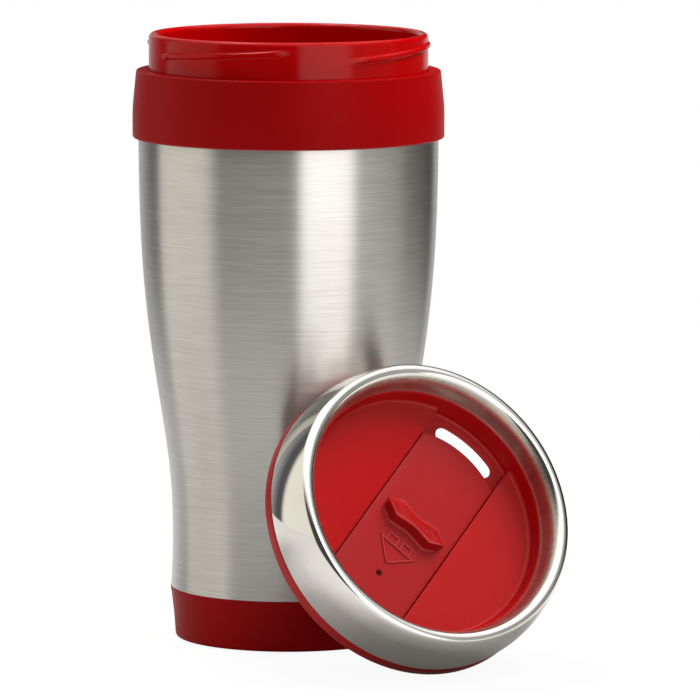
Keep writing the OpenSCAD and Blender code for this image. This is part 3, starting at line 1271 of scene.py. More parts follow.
@dataclass
class LeaningPose:
    """How the lid stands on its edge on the floor and leans on the mug."""

    mug: Mug
    flange_r: float
    tilt: float = 62.0
    facing: float = -59.8
    lean_bearing: float = -54.7
    spin: float = 41.6
    edge: float = 0.6
    floor_gap: float = 0.2
    lean_gap: float = 0.15

    def matrix(self) -> Matrix:
        """Works out the pose from the two places where the lid touches floor and mug.

        Returns:
            The way from the lid's own frame to the mug's, in metres.
        """
        turns = self.tilt, self.facing, self.lean_bearing, self.spin
        tilt, facing, bearing, spin = (math.radians(turn) for turn in turns)
        middle = (self.flange_r - self.edge) * math.sin(tilt)
        middle += self.edge * (1 - math.cos(tilt)) + self.floor_gap
        touch = self.mug.shell_radius(middle + self.flange_r * math.sin(tilt)) + self.lean_gap
        reach = self.flange_r * math.cos(tilt)
        x = touch * math.cos(bearing) + reach * math.cos(facing)
        y = touch * math.sin(bearing) + reach * math.sin(facing)
        turn = Matrix.Rotation(facing, 4, "Z") @ Matrix.Rotation(tilt, 4, "Y")
        turn_about_axis = Matrix.Rotation(spin, 4, "Z")
        return Matrix.Translation(Vector((x, y, middle)) * MM) @ turn @ turn_about_axis


@dataclass
class Lid(Assembly):
    """The screw lid: its moulded cap, the polished ring on it and the seal inside it."""

    mug: Mug
    body: str = "lid"
    flange_inset: float = 1.0
    flange_h: float = 3.7
    flange_edge: float = 0.6
    seal_gap: float = 0.2
    seal_t: float = 1.7
    thread_gap: float = 0.25
    thread_rise: float = 3.9
    groove_gap: float = 0.4
    bridge_t: float = 1.8
    rim_rise: float = 6.5
    rim_round: float = 2.05
    rim_inset: float = 3.6
    dome_r: float = 32.6
    dome_drop: float = 12.1
    trim_taper: float = 1.25
    trim_t: float = 0.6
    rim_swell_r: float = 5.0
    rim_foot_r: float = 3.3
    rim_roll_end: float = 45.0
    rim_foot_end: float = 25.0
    rim_steep: float = 5.0
    ledge_drop: float = 0.9
    ledge_gap: float = 0.5
    bowl_depth: float = 11.6
    bowl_wall: float = 1.9
    bowl_slope: float = 0.22
    bowl_fillet: float = 1.2
    floor_t: float = 1.6
    channel_w: float = 26.0
    slider_t: float = 1.7
    slider_sink: float = 0.2
    glide_gap: float = 0.1
    slot_inset: float = 5.9
    slot_w: float = 4.4
    slot_half_angle: float = 15.2
    vent_r: float = 0.9
    vent_back: float = 22.4
    vent_lip: float = 0.15
    slot_lip: float = 0.3
    slot_flare: float = 1.2
    channel_edge: float = 0.5
    # Heights from an upper face where its rounded edge begins and ends to be painted pale, partly
    # as wear and partly as a painted highlight
    edge_wear_and_highlight_start: float = -0.4
    edge_wear_and_highlight_end: float = -0.15
    # Part of the rim's radius by which the mirror reaches in from the rim's middle
    mirror_share: float = 0.75
    guide_half_w: float = 3.4
    guide_back: float = -8.4
    guide_front: float = 6.4
    guide_round: float = 0.8
    pose: Matrix = field(init=False)

    def __post_init__(self) -> None:
        """Works out where the lid stands."""
        self.pose = LeaningPose(self.mug, self.flange_r).matrix()

    @property
    def flange_r(self) -> float:
        """Outer radius of the flange."""
        return self.mug.collar_r - self.flange_inset

    @property
    def groove_out(self) -> float:
        """Inside radius of the lid's outer wall."""
        return self.mug.neck_r + self.mug.thread().depth + self.thread_gap

    @property
    def groove_in(self) -> float:
        """Outside radius of the bowl's wall."""
        return self.mug.neck_r - self.mug.neck_wall - self.groove_gap

    @property
    def seal_low(self) -> float:
        """Underside of the seal."""
        return self.mug.neck_h + self.seal_gap

    @property
    def groove_top(self) -> float:
        """Top of the groove that takes the neck and the seal."""
        return self.seal_low + self.seal_t

    @property
    def bridge_h(self) -> float:
        """Top of the wall over the groove."""
        return self.groove_top + self.bridge_t

    @property
    def height(self) -> float:
        """Top of the rolled rim."""
        return self.bridge_h + self.rim_rise

    @property
    def rim_mid(self) -> Point:
        """Middle of the rolled rim."""
        return self.flange_r - self.rim_inset, self.height - self.rim_round

    @property
    def dome(self) -> tuple[Point, float]:
        """The arc of the ring's domed side.

        Returns:
            Its middle, and the angle at which it runs into the rim, in degrees.
        """
        middle_h = self.height - self.dome_drop
        blend = math.asin((self.rim_mid[1] - middle_h) / (self.dome_r - self.rim_round))
        middle_r = self.rim_mid[0] - (self.dome_r - self.rim_round) * math.cos(blend)
        return (middle_r, middle_h), math.degrees(blend)

    @property
    def floor_r(self) -> float:
        """Radius of the bowl's raised floor."""
        return self.groove_in - self.bowl_wall

    @property
    def floor_h(self) -> float:
        """Height of the bowl's raised floor."""
        return self.height - self.bowl_depth

    @property
    def channel_h(self) -> float:
        """Height of the floor under the slider."""
        return self.floor_h - self.slider_sink - self.slider_t - self.glide_gap

    @property
    def slot_mid(self) -> float:
        """Radius of the drink slot's middle line."""
        return self.floor_r - self.slot_inset

    def wall_r(self, height: float) -> float:
        """Radius of the bowl's sloping wall at a height."""
        return self.floor_r + (height - self.floor_h) * self.bowl_slope

    def ring_bore(self, height: float) -> float:
        """Inside radius of the polished ring's domed side.

        Args:
            height: Where it is wanted.

        Returns:
            The radius at that height.
        """
        (middle_r, middle_h), _ = self.dome
        radius = self.dome_r - self.trim_t
        return middle_r + math.sqrt(radius**2 - (height - middle_h) ** 2)

    def thread(self) -> Thread:
        """The thread inside the lid's outer wall.

        Returns:
            The thread.
        """
        return Thread(
            wall_r=self.groove_out,
            middle_z=self.thread_rise,
            low=self.groove_top - 1.0,
            high=0.6,
            outward=False,
            first=0.0,
            row=0.3,
        )

    def slot_outline(self, growth: float) -> list[Point]:
        """The drink slot's outline: an arc about the lid's axis with round ends.

        Args:
            growth: How far the outline is grown outward.

        Returns:
            The outline's points.
        """
        half = self.slot_w / 2 + growth
        first, last = 90 - self.slot_half_angle, 90 + self.slot_half_angle
        (right, left) = (
            (self.slot_mid * math.cos(angle), self.slot_mid * math.sin(angle))
            for angle in (math.radians(first), math.radians(last))
        )
        return [
            *arc((0, 0), self.slot_mid + half, first, last, 24),
            *arc(left, half, last, last + 180, 10)[1:-1],
            *arc((0, 0), self.slot_mid - half, last, first, 24),
            *arc(right, half, first, first - 180, 10)[::-1][1:-1],
        ]

    def guide_outline(self, growth: float) -> list[Point]:
        """The outline of the slot under the slider that its lug runs in.

        Args:
            growth: How far the outline is grown outward.

        Returns:
            The outline's points.
        """
        x, r = self.guide_half_w + growth, self.guide_round
        low, high = self.guide_back - growth, self.guide_front + growth
        corners = [(-x, low, r), (x, low, r), (x, high, r), (-x, high, r)]
        return rounded(corners, closed=True, steps=4)

    def hole_levels(self, lip: float, flare: float) -> list[Point]:
        """Levels of a hole through the bowl's floor.

        Args:
            lip: Radius of the round at its top edge.
            flare: How far it widens towards its underside.

        Returns:
            The levels, each as (growth, height); see stacked().
        """
        low, high = self.channel_h - self.floor_t, self.channel_h
        return [(flare, low - 1.0), (flare, low), *edge_levels(lip, high), (lip, high + 1.0)]

    def make_cap(self) -> bpy.types.Object:
        """Makes the moulded cap: flange, threaded wall, bowl and raised floor with its channel.

        Returns:
            The cap.
        """
        thread = self.thread()
        low = self.channel_h - self.floor_t
        skirt = min(self.ring_bore(self.flange_h), self.ring_bore(self.bridge_h)) - self.mug.fit_gap
        ledge = self.rim_mid[0] - self.rim_round - self.trim_taper + self.trim_t + self.ledge_gap
        ledge_h = self.bridge_h - self.ledge_drop
        inner = rounded(
            [
                (0, low, 0),
                (self.groove_in, low, 1.8),
                (self.groove_in, self.groove_top, 0.4),
                (self.groove_out, self.groove_top, 0.4),
                (*thread.rows()[0], 0),
            ]
        )
        outer = rounded(
            [
                (*thread.rows()[-1], 0),
                (self.groove_out, 0, 0.3),
                (self.flange_r, 0, self.flange_edge),
                (self.flange_r, self.flange_h, self.flange_edge),
                (skirt, self.flange_h, 0.1),
                (skirt, self.bridge_h, 0.2),
                (ledge, self.bridge_h, 0.1),
                (ledge, ledge_h, 0.1),
                (self.wall_r(ledge_h), ledge_h, 0.15),
                (self.wall_r(self.channel_h), self.channel_h, 0.8),
                (0, self.channel_h, 0),
            ],
            steps=6,
        )
        cap = revolve("lid_cap_body", inner[:-1] + thread.rows()[:-1] + outer, thread.relief)
        work(cap, Joinery.ADD, [self.make_raised_floor()])
        work(cap, Joinery.CUT, self.make_floor_cutters())
        return cap

    def make_raised_floor(self) -> bpy.types.Object:
        """Makes the two segments beside the channel, with a soft fillet up to the bowl's wall.

        Returns:
            The raised floor, to be added to the cap.
        """
        root = self.channel_h - self.floor_t / 2
        buried = self.groove_in - self.bowl_wall / 2
        top = self.floor_h + self.bowl_fillet
        centre = (self.wall_r(top) - self.bowl_fillet, top)
        over = top + 0.05
        profile = [(0.0, root), (buried, root), (buried, over), (self.wall_r(top) + 0.1, over)]
        profile += arc(centre, self.bowl_fillet, -6, -90, 8) + [(0.0, self.floor_h)]
        floor = revolve("raised_floor", profile)
        half, edge, clear = self.channel_w / 2, self.channel_edge, 5.0
        side = arc((half + edge, self.floor_h - edge), edge, 180, 90, 5)
        right = [(half, self.channel_h), *side, (half + edge, self.floor_h + clear)]
        section = right + [(-x, z) for x, z in reversed(right)]
        reach = self.groove_in + clear
        channel = loft("channel", [[(x, y, z) for x, z in section] for y in (-reach, reach)])
        work(floor, Joinery.CUT, [channel])
        return floor

    def make_vent_cutter(self, name: str, levels: Sequence[Point]) -> bpy.types.Object:
        """Makes a cutter for the vent hole, through the floor or through the slider.

        Args:
            name: Name of the object.
            levels: The hole from its underside up, each as (growth, height).

        Returns:
            The cutter.
        """
        side = [(self.vent_r + growth, height) for growth, height in levels]
        profile = [(0.0, side[0][1]), *side, (0.0, side[-1][1])]
        cutter = revolve(name, profile, segments=HOLE_SEGMENTS)
        cutter.location = (0, -self.vent_back * MM, 0)
        return cutter

    def make_floor_cutters(self) -> list[bpy.types.Object]:
        """Makes the cutters for the drink slot, the lug's guide slot and the vent hole.

        Returns:
            The cutters.
        """
        vent = self.make_vent_cutter("vent", self.hole_levels(self.vent_lip, 0.1))
        slot_levels = self.hole_levels(self.slot_lip, self.slot_flare)
        return [
            loft("drink_slot", stacked(self.slot_outline, slot_levels)),
            loft("guide_slot", stacked(self.guide_outline, self.hole_levels(0.2, 0.1))),
            vent,
        ]

    def make_trim_ring(self) -> bpy.types.Object:
        """Makes the polished ring: a domed side, a tight rolled rim and a turned-in inner side.

        Returns:
            The ring.
        """
        centre, blend = self.dome
        foot = math.degrees(math.asin((self.flange_h - centre[1]) / self.dome_r))
        inner_r = self.rim_mid[0] - self.rim_round - self.trim_taper
        inner_h = self.bridge_h - self.ledge_drop
        outside = arc(centre, self.dome_r, foot, blend, 50)
        outside += arc(self.rim_mid, self.rim_round, blend, 180 - self.rim_roll_end, 36)[1:]
        swell, steep = self.rim_swell_r, math.radians(self.rim_steep)
        lean, foot_lean = math.radians(self.rim_roll_end), math.radians(self.rim_foot_end)
        middle = (outside[-1][0] + swell * math.cos(lean), outside[-1][1] - swell * math.sin(lean))
        outside += arc(middle, swell, 180 - self.rim_roll_end, 180 - self.rim_steep, 10)[1:]
        hollow = self.rim_foot_r
        hollow_h = inner_h - hollow * (math.sin(steep) - math.sin(foot_lean))
        drop = outside[-1][1] - hollow_h
        outside.append((outside[-1][0] - drop * math.tan(steep), hollow_h))
        middle = (outside[-1][0] - hollow * math.cos(steep), hollow_h + hollow * math.sin(steep))
        outside += arc(middle, hollow, -self.rim_steep, -self.rim_foot_end, 10)[1:]
        inside = [(inner_r + self.trim_t, inner_h)]
        inside += arc(self.rim_mid, self.rim_round - self.trim_t, 180, blend, 20)
        inside += arc(centre, self.dome_r - self.trim_t, blend, foot, 30)[1:]
        return revolve("polished_ring", outside + inside)

    def make_seal(self) -> bpy.types.Object:
        """Makes the sealing ring at the top of the groove.

        Returns:
            The seal.
        """
        low, high = self.seal_low, self.groove_top
        first, last = self.groove_in + self.mug.fit_gap, self.groove_out - self.mug.fit_gap
        corners = [(first, low, 0.5), (last, low, 0.5), (last, high, 0.2), (first, high, 0.2)]
        return revolve("sealing_ring", rounded(corners, closed=True))

    def build(self) -> None:
        """Makes, dresses and places every piece of the lid."""
        placing = Placing.of(self.pose)
        mirror = PolishedSteel(placing, self.rim_mid[0] - self.mirror_share * self.rim_round)
        # Pale band on the raised floor's rounded edges: partly wear, partly painted highlight.
        wear_and_highlight_bands = (self.floor_h + self.edge_wear_and_highlight_start, self.floor_h + self.edge_wear_and_highlight_end)
        moulded = replace(LID_RED, frame=placing, wear_and_highlight_bands=(wear_and_highlight_bands,))
        for piece, node, finish, slot in (
            (self.make_cap(), "lid_cap", moulded, Slot.MATT),
            (self.make_trim_ring(), "lid_trim_ring", mirror, Slot.POLISHED),
            (self.make_seal(), "lid_seal", SILICONE, Slot.SILICONE),
        ):
            piece.data.transform(self.pose)
            self.fit(piece, node, finish, slot)


@dataclass
class Slider(Assembly):
    """The shutter that closes the drink slot: plate, thumb grip, raised arrow and snap lug."""

    lid: Lid
    body: str = "slider"
    side_gap: float = 0.28
    slot_gap: float = 0.1
    edge: float = 0.55
    under_edge: float = 0.15
    bury: float = 0.3
    grip_h: float = 3.4
    grip_half: float = 10.0
    grip_knee: float = 6.0
    # Where the edges run at the grip's ends, at its knees and in the middle
    back_edge: tuple[float, float, float] = (-3.8, -6.3, -5.3)
    front_edge: tuple[float, float, float] = (-1.2, 1.2, -0.1)
    grip_crest: float = 0.35
    grip_draft: float = 0.7
    grip_root: float = 0.6
    grip_root_end: float = 0.1
    grip_root_fade: float = 2.0
    grip_toe: float = 0.3
    grip_toe_l: float = 0.2
    grip_end_drop: float = 0.5
    grip_end_fade: float = 1.5
    rib_first: float = -0.6
    rib_last: float = 8.4
    rib_pitch: float = 0.86
    rib_h: float = 0.3
    # Shares of the ramp, from crest to toe: where the ribs begin or end, and how long that takes
    rib_rise: Span = (0.38, 0.15)
    rib_sink: Span = (0.93, 0.08)
    rib_fade: float = 0.8
    grip_slices: int = 200
    ramp_steps: int = 36
    arrow_h: float = 0.42
    arrow_line: float = 0.7
    # Half of a raised line's section: share of its width, and how far it is below the line's top
    arrow_side: tuple[Point, ...] = ((0.22, 0.07), (0.4, 0.0))
    arrow_foot: float = 0.03
    arrow_base: float = -12.1
    arrow_tip: float = -18.5
    arrow_half: float = 6.3
    arrow_blunt: float = 0.5
    tail_half: float = 4.3
    tail_gap: float = 0.9
    tail_l: float = 2.6
    lug_w: float = 6.0
    lug_l: float = 8.0
    lug_y: float = -4.0
    lug_round: float = 0.5
    hook: float = 1.0
    hook_t: float = 1.1
    vent_lip: float = 0.12
    # How far above the plate, and below the grip's crest, raised plastic is painted pale, partly as
    # wear and partly as a painted highlight
    arrow_wear_and_highlight_start: float = 0.14
    crest_wear_and_highlight_depth: float = 0.25

    @property
    def low(self) -> float:
        """Underside of the plate."""
        return self.lid.channel_h + self.lid.glide_gap

    @property
    def top(self) -> float:
        """Top face of the plate."""
        return self.low + self.lid.slider_t

    def plate_outline(self, growth: float) -> list[Point]:
        """The plate's outline: straight sides between two arcs about the lid's axis.

        Args:
            growth: How far the outline is grown outward.

        Returns:
            The outline's points.
        """
        half = self.lid.channel_w / 2 - self.side_gap + growth
        front = self.lid.slot_mid - self.lid.slot_w / 2 - self.slot_gap + growth
        back = self.lid.wall_r(self.lid.channel_h) - self.side_gap + growth
        front_turn = math.degrees(math.asin(half / front))
        back_turn = math.degrees(math.asin(half / back))
        nose = arc((0, 0), front, 90 - front_turn, 90 + front_turn, 40)
        heel = arc((0, 0), back, 270 - back_turn, 270 + back_turn, 40)
        return nose + heel

    def make_plate(self) -> bpy.types.Object:
        """Makes the plate itself, with small rounds at its edges.

        Returns:
            The plate.
        """
        under = [(-self.under_edge, self.low), (0.0, self.low + self.under_edge)]
        levels = under + edge_levels(-self.edge, self.top)
        return loft("slide_shutter", stacked(self.plate_outline, levels))

    def grip_edge(self, x: float, places: tuple[float, float, float]) -> float:
        """Where the grip's back or front edge runs, straight from end to knee to middle.

        Args:
            x: Where it is wanted across the slider.
            places: The edge's places at the ends, the knees and the middle.

        Returns:
            The edge's place along the slider.
        """
        end, knee, middle = places
        half, bend = self.grip_half + 0.01, self.grip_knee
        edge = rounded(
            [
                (-half, end, 0),
                (-bend, knee, 0.9),
                (0, middle, 9.0),
                (bend, knee, 0.9),
                (half, end, 0),
            ],
            steps=6,
        )
        first, last = next((p, q) for p, q in zip(edge, edge[1:]) if q[0] >= x)
        return first[1] + (last[1] - first[1]) * (x - first[0]) / (last[0] - first[0])

    def grip_section(self, x: float) -> list[tuple[float, float, float]]:
        """One upright slice of the grip, from its back root over the crest and down the ramp.

        Args:
            x: Where the slice stands across the slider.

        Returns:
            The slice's points.
        """
        back, front = self.grip_edge(x, self.back_edge), self.grip_edge(x, self.front_edge)
        from_end = self.grip_half - abs(x)
        foot, toe = self.top - self.bury, self.top + self.grip_toe
        drop = self.grip_end_drop * smooth(1 - from_end / self.grip_end_fade)
        crest = self.top + self.grip_h - drop
        least = self.grip_root_end
        root = least + (self.grip_root - least) * smooth(from_end / self.grip_root_fade)
        hollow = (back - self.grip_draft - root, self.top + root + 0.02)
        behind = [(hollow[0], foot), *arc(hollow, root, -90, -4, 8)]
        crest_end = back + self.grip_crest
        over = rounded(
            [(*behind[-1], 0), (back, crest, 0.5), (crest_end, crest, 0.3), (front, toe, 0)],
            steps=4,
        )[1:-1]
        ribs = smooth((x - self.rib_first) / self.rib_fade)
        ribs *= smooth((self.rib_last - x) / self.rib_fade)
        wave = ribs * self.rib_h * (0.5 + 0.5 * math.cos(math.tau * x / self.rib_pitch))
        (rise, rise_l), (sink, sink_l) = self.rib_rise, self.rib_sink
        ramp_end = (front - self.grip_toe_l, toe)
        ramp = []
        for i, (y, z) in enumerate(line(over[-1], ramp_end, self.ramp_steps)):
            down = i / self.ramp_steps
            ribbed = smooth((down - rise) / rise_l) * smooth((sink - down) / sink_l)
            ramp.append((y, z + wave * ribbed))
        nose = rounded([(*ramp_end, 0), (front, toe, 0.18), (front, foot, 0)])
        return [(x, y, z) for y, z in behind + over[:-1] + ramp + nose[1:]]

    def make_grip(self) -> bpy.types.Object:
        """Makes the wedge that a thumb pushes: upright at the back, a ribbed ramp at the front.

        Returns:
            The grip, to be added to the plate.
        """
        shares = [2 * i / self.grip_slices - 1 for i in range(self.grip_slices + 1)]
        return loft("thumb_grip", [self.grip_section(self.grip_half * share) for share in shares])

    def raised_line(self, name: str, corners: Sequence[Point]) -> bpy.types.Object:
        """A raised line of the arrow along a closed outline.

        Args:
            name: Name of the object.
            corners: The outline's corners, counter-clockwise, on the line's outer side.

        Returns:
            The new object.
        """
        count = len(corners)
        loops: list[list[tuple[float, float, float]]] = []
        width, foot, high = self.arrow_line, self.top - self.bury, self.top + self.arrow_h
        low = self.top + self.arrow_foot
        rising = [(width * share, high - drop) for share, drop in self.arrow_side]
        falling = [(width * (1 - share), high - drop) for share, drop in self.arrow_side[::-1]]
        for inset, z in ((0.0, foot), (0.0, low), *rising, *falling, (width, low), (width, foot)):
            loop = []
            for i, corner in enumerate(corners):
                here = Vector(corner)
                ahead = (Vector(corners[(i + 1) % count]) - here).normalized()
                back = (here - Vector(corners[i - 1])).normalized()
                inward = Vector((-ahead.y - back.y, ahead.x + back.x)).normalized()
                reach = inset / inward.dot(Vector((-ahead.y, ahead.x)))
                loop.append((*(here + inward * reach), z))
            loops.append(loop)
        return loft(name, loops, closed=True)

    def make_arrow(self) -> list[bpy.types.Object]:
        """Makes the raised outline of an arrow that points away from the drink slot.

        Returns:
            The arrow's head and the two halves of its tail.
        """
        base, half, blunt = self.arrow_base, self.arrow_half, self.arrow_blunt
        head = [(half, base), (-half, base), (-blunt, self.arrow_tip), (blunt, self.arrow_tip)]
        low, high = base - self.arrow_line + 0.02, base + self.tail_l
        near, far = self.tail_gap / 2, self.tail_half
        right = [(near, low), (far, low), (far, high), (near, high)]
        left = [(-far, low), (-near, low), (-near, high), (-far, high)]
        outlines = {"arrow_head": head, "arrow_tail_right": right, "arrow_tail_left": left}
        return [self.raised_line(name, corners) for name, corners in outlines.items()]

    def make_block(self, name: str, half_w: float, low: float, high: float) -> bpy.types.Object:
        """Makes one block of the lug, with rounded sides and a narrowed foot.

        Args:
            name: Name of the object.
            half_w: Half of its width across the slider.
            low: Its underside.
            high: Its top.

        Returns:
            The block.
        """

        def outline(growth: float) -> list[Point]:
            """The block's outline.

            Args:
                growth: How far it is grown outward.

            Returns:
                The outline's points.
            """
            x, y, r = half_w + growth, self.lug_l / 2 + growth, self.lug_round
            back, front = self.lug_y - y, self.lug_y + y
            corners = [(-x, back, r), (x, back, r), (x, front, r), (-x, front, r)]
            return rounded(corners, closed=True, steps=3)

        levels = [(-0.2, low), (0.0, low + 0.2), (0.0, high)]
        return loft(name, stacked(outline, levels))

    def make_lug(self) -> list[bpy.types.Object]:
        """Makes the lug that snaps through the guide slot, and its hooks under the bowl's floor.

        Returns:
            The lug's stem and hooks, to be added to the plate.
        """
        foot = self.low - (self.lid.floor_t + 2 * self.lid.glide_gap)
        stem_w, stem_foot = self.lug_w / 2, foot - self.hook_t / 2
        hook_w = stem_w + self.hook + self.side_gap
        stem_top = self.low + self.lid.slider_t / 2
        return [
            self.make_block("lug_stem", stem_w, stem_foot, stem_top),
            self.make_block("lug_hooks", hook_w, foot - self.hook_t, foot),
        ]

    def build(self) -> None:
        """Makes, dresses and places the slider."""
        plate = self.make_plate()
        work(plate, Joinery.ADD, [self.make_grip(), *self.make_arrow(), *self.make_lug()])
        lip, top = self.vent_lip, self.top
        levels = [(0.0, self.low - 1), (0.0, top - lip), (lip, top), (lip, top + 1)]
        work(plate, Joinery.CUT, [self.lid.make_vent_cutter("slider_vent", levels)])
        plate.data.transform(self.lid.pose)
        crest = top + self.grip_h
        # Pale bands on the plate's edges, the arrow and the grip's crest: partly wear, partly
        # painted highlight.
        edge_wear_and_highlight_band = (top + self.lid.edge_wear_and_highlight_start, top + self.lid.edge_wear_and_highlight_end)
        arrow_wear_and_highlight_band = (top + self.arrow_wear_and_highlight_start, top + self.arrow_h)
        wear_and_highlight_bands = (edge_wear_and_highlight_band, arrow_wear_and_highlight_band, (crest - self.crest_wear_and_highlight_depth, crest))
        finish = replace(SLIDER_RED, frame=Placing.of(self.lid.pose), wear_and_highlight_bands=wear_and_highlight_bands)
        self.fit(plate, "slider", finish, Slot.MATT)


# ---------------------------------------------------------------- studio


@dataclass
class StudioCamera:
    """A long lens that looks slightly down at the mug. Its yaw turns it towards +X."""

    place: tuple[float, float, float] = (0.0, -1896.3, 312.2)
    yaw: float = 0.528
    pitch: float = 6.923
    roll: float = -0.116
    lens: float = 346.8
    sensor: float = 36.0
    reach: float = 50.0

    def build(self) -> None:
        """Makes the camera and gives it to the scene."""
        data = bpy.data.cameras.new("studio_camera")
        data.lens = self.lens
        data.sensor_width = self.sensor
        data.clip_end = self.reach
        camera = bpy.data.objects.new("studio_camera", data)
        yaw, down = math.radians(self.yaw), math.radians(90 - self.pitch)
        turn = Matrix.Rotation(-yaw, 4, "Z") @ Matrix.Rotation(down, 4, "X")
        turn @= Matrix.Rotation(math.radians(-self.roll), 4, "Z")
        camera.matrix_world = Matrix.Translation(Vector(self.place) * MM) @ turn
        bpy.context.scene.collection.objects.link(camera)
        bpy.context.scene.camera = camera


@dataclass
class Lamp:
    """A soft box that faces the object. Its bearing is from the camera's side towards +X."""

    name: str
    bearing: float
    elevation: float
    distance: float
    width: float
    height: float
    power: float
    mirrored: bool = True
    aim_height: float = 90.0

    def build(self) -> None:
        """Makes the lamp."""
        data = bpy.data.lights.new(self.name, "AREA")
        data.shape = "RECTANGLE"
        data.size = self.width * MM
        data.size_y = self.height * MM
        data.energy = self.power
        lamp = bpy.data.objects.new(self.name, data)
        bearing, up = math.radians(self.bearing), math.radians(self.elevation)
        level = math.cos(up)
        aim = Vector((math.sin(bearing) * level, -math.cos(bearing) * level, math.sin(up)))
        target = Vector((0.0, 0.0, self.aim_height))
        lamp.location = (target + aim * self.distance) * MM
        lamp.rotation_euler = aim.to_track_quat("Z", "Y").to_euler()
        lamp.visible_glossy = self.mirrored
        bpy.context.scene.collection.objects.link(lamp)


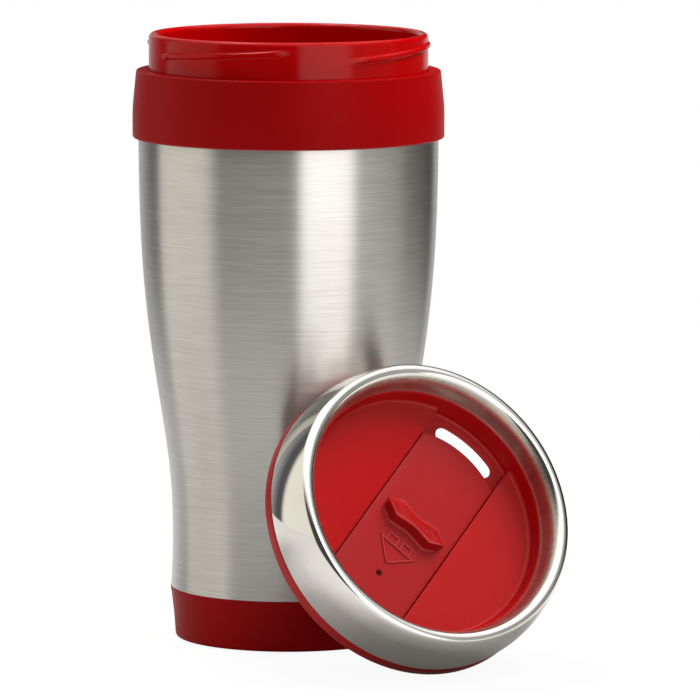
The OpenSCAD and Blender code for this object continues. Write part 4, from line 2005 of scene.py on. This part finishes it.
@dataclass
class Studio:
    """The pale floor, the soft boxes and the light of the room."""

    floor_r: float = 400.0
    floor_t: float = 2.0
    floor_segments: int = 96
    floor_colour: Colour = (0.74, 0.735, 0.72, 1.0)
    # Painted shade: the floor's colour is a little darker round the lid's foot, where it takes in
    # less of the room
    shade_middle: Point = (52.0, -62.0)
    shade_r: float = 85.0
    shade_depth: float = 0.3
    shade_core: float = 0.25
    grain_size: float = 40.0
    grain_share: float = 0.05
    floor_share: float = 0.86
    floor_sheen: float = 0.1
    glow: Colour = (1.09, 1.09, 1.09, 1.0)
    sheen: Colour = (0.98, 0.95, 0.88, 1.0)
    lamps: list[Lamp] = field(
        default_factory=lambda: [
            Lamp("window_box", 31.0, 16.0, 1500.0, 900.0, 1500.0, 3.5, mirrored=False),
            Lamp("top_box", 95.0, 54.0, 1500.0, 800.0, 800.0, 24.0, mirrored=False),
            Lamp("edge_box", -133.0, 68.0, 1500.0, 400.0, 400.0, 4.5),
        ]
    )
    fill: Colour = (0.18, 0.18, 0.18, 1.0)
    fill_left: Colour = (0.5, 0.5, 0.5, 1.0)
    fill_above: Colour = (0.62, 0.62, 0.62, 1.0)
    behind: Colour = (0.03, 0.03, 0.032, 1.0)
    overhead: Colour = (1.5, 1.5, 1.49, 1.0)
    # Where the room behind the object begins and ends, as shares of the turn
    back_start: Span = (0.78, 0.82)
    back_end: Span = (0.0, 0.04)
    # Where one part of the room fades into the next, by the Z part of a ray's direction
    back_rise: Span = (0.0, 0.1)
    overhead_rise: Span = (0.5, 0.85)
    above_rise: Span = (0.3, 1.0)
    # Where its left side fades into its right one, by the X part
    left_side: Span = (-0.8, 0.5)
    # What shiny surfaces see of the room, by bearing: from straight behind the object, round by its
    # left and its front, to behind it again
    room: tuple[tuple[float, Colour], ...] = (
        (-180.0, (0.70, 0.70, 0.70, 1.0)),
        (-150.0, (0.45, 0.45, 0.45, 1.0)),
        (-130.0, (0.10, 0.10, 0.105, 1.0)),
        (-122.0, (0.11, 0.11, 0.11, 1.0)),
        (-116.0, (1.02, 0.98, 0.88, 1.0)),
        (-68.0, (0.98, 0.94, 0.84, 1.0)),
        (-56.0, (0.07, 0.07, 0.07, 1.0)),
        (6.0, (0.06, 0.06, 0.06, 1.0)),
        (12.0, (2.25, 2.25, 2.25, 1.0)),
        (48.0, (2.25, 2.24, 2.2, 1.0)),
        (56.0, (0.50, 0.50, 0.49, 1.0)),
        (96.0, (0.28, 0.27, 0.25, 1.0)),
        (104.0, (0.09, 0.08, 0.07, 1.0)),
        (144.0, (0.07, 0.065, 0.06, 1.0)),
        (156.0, (0.60, 0.60, 0.60, 1.0)),
        (180.0, (0.70, 0.70, 0.70, 1.0)),
    )

    def make_floor(self) -> None:
        """Makes the floor, which glows for the camera and in metal, and keeps the shadow."""
        low = -self.floor_t
        outline = [(0.0, low), (self.floor_r, low), (self.floor_r, 0.0), (0.0, 0.0)]
        floor = revolve("floor", outline, segments=self.floor_segments)
        material, kit = new_material("pale_floor")
        place = kit.place()
        grain = kit.noise(place, self.grain_size)
        ends = {0: place, 1: Vector((*self.shade_middle, 0.0)) * MM}
        reach = kit.add("ShaderNodeVectorMath", {"operation": "DISTANCE"}, ends, "Value")
        # Painted shade round the lid's foot, mixed with grain, darkens the floor's own colour.
        shaded = 1 - reach.eased(self.shade_r * self.shade_core * MM, self.shade_r * MM)
        depth = shaded * (1 - self.grain_share) + grain * self.grain_share
        tone = depth.mixed(self.floor_colour, lit(self.floor_colour, self.shade_depth))
        plain = kit.add("ShaderNodeBsdfDiffuse", {}, {"Color": tone})
        seen = kit.add("ShaderNodeLightPath", {}, {}, "Is Camera Ray")
        mirrored = kit.add("ShaderNodeLightPath", {}, {}, "Is Glossy Ray")
        glow = kit.add("ShaderNodeEmission", {}, {"Color": seen.mixed(self.sheen, self.glow)})
        share = seen * self.floor_share + mirrored * self.floor_sheen
        surface = kit.add("ShaderNodeMixShader", {}, {0: share, 1: plain, 2: glow})
        kit.add("ShaderNodeOutputMaterial", {}, {"Surface": surface})
        floor.data.materials.append(material)

    def make_room(self) -> None:
        """Makes the room: white for the camera, banded in shiny surfaces, and plain otherwise."""
        world = bpy.data.worlds.new("studio_room")
        world.use_nodes = True
        kit = NodeKit(world.node_tree)
        direction = kit.add("ShaderNodeTexCoord", {}, {}, "Generated")
        bearing = kit.math("ARCTAN2", direction.part("X"), -direction.part("Y")) / math.tau + 0.5
        stops = [(degrees / 360 + 0.5, colour) for degrees, colour in self.room]
        bands = kit.add("ShaderNodeValToRGB", {"ramp": stops}, {"Fac": bearing}, "Color")
        rise = direction.part("Z")
        at_back = bearing.eased(*self.back_start) + (1 - bearing.eased(*self.back_end))
        walls = (at_back * rise.eased(*self.back_rise)).mixed(bands, self.behind)
        room = rise.eased(*self.overhead_rise).mixed(walls, self.overhead)
        sides = direction.part("X").eased(*self.left_side).mixed(self.fill_left, self.fill)
        plain = rise.eased(*self.above_rise).mixed(sides, self.fill_above)
        mirrored = kit.add("ShaderNodeLightPath", {}, {}, "Is Glossy Ray")
        seen = kit.add("ShaderNodeLightPath", {}, {}, "Is Camera Ray")
        colour = seen.mixed(mirrored.mixed(plain, room), WHITE)
        light = kit.add("ShaderNodeBackground", {}, {"Color": colour, "Strength": 1.0})
        kit.add("ShaderNodeOutputWorld", {}, {"Surface": light})
        bpy.context.scene.world = world

    def build(self) -> None:
        """Makes the whole studio."""
        bpy.context.scene.view_settings.view_transform = "Standard"
        self.make_floor()
        self.make_room()
        for lamp in self.lamps:
            lamp.build()
        StudioCamera().build()


def main() -> None:
    """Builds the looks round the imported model."""
    logging.basicConfig(level=logging.INFO, format="%(name)s: %(message)s")
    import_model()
    mug = Mug()
    mug.build()
    lid = Lid(mug)
    lid.build()
    Slider(lid).build()
    Studio().build()


if __name__ == "__main__":
    main()
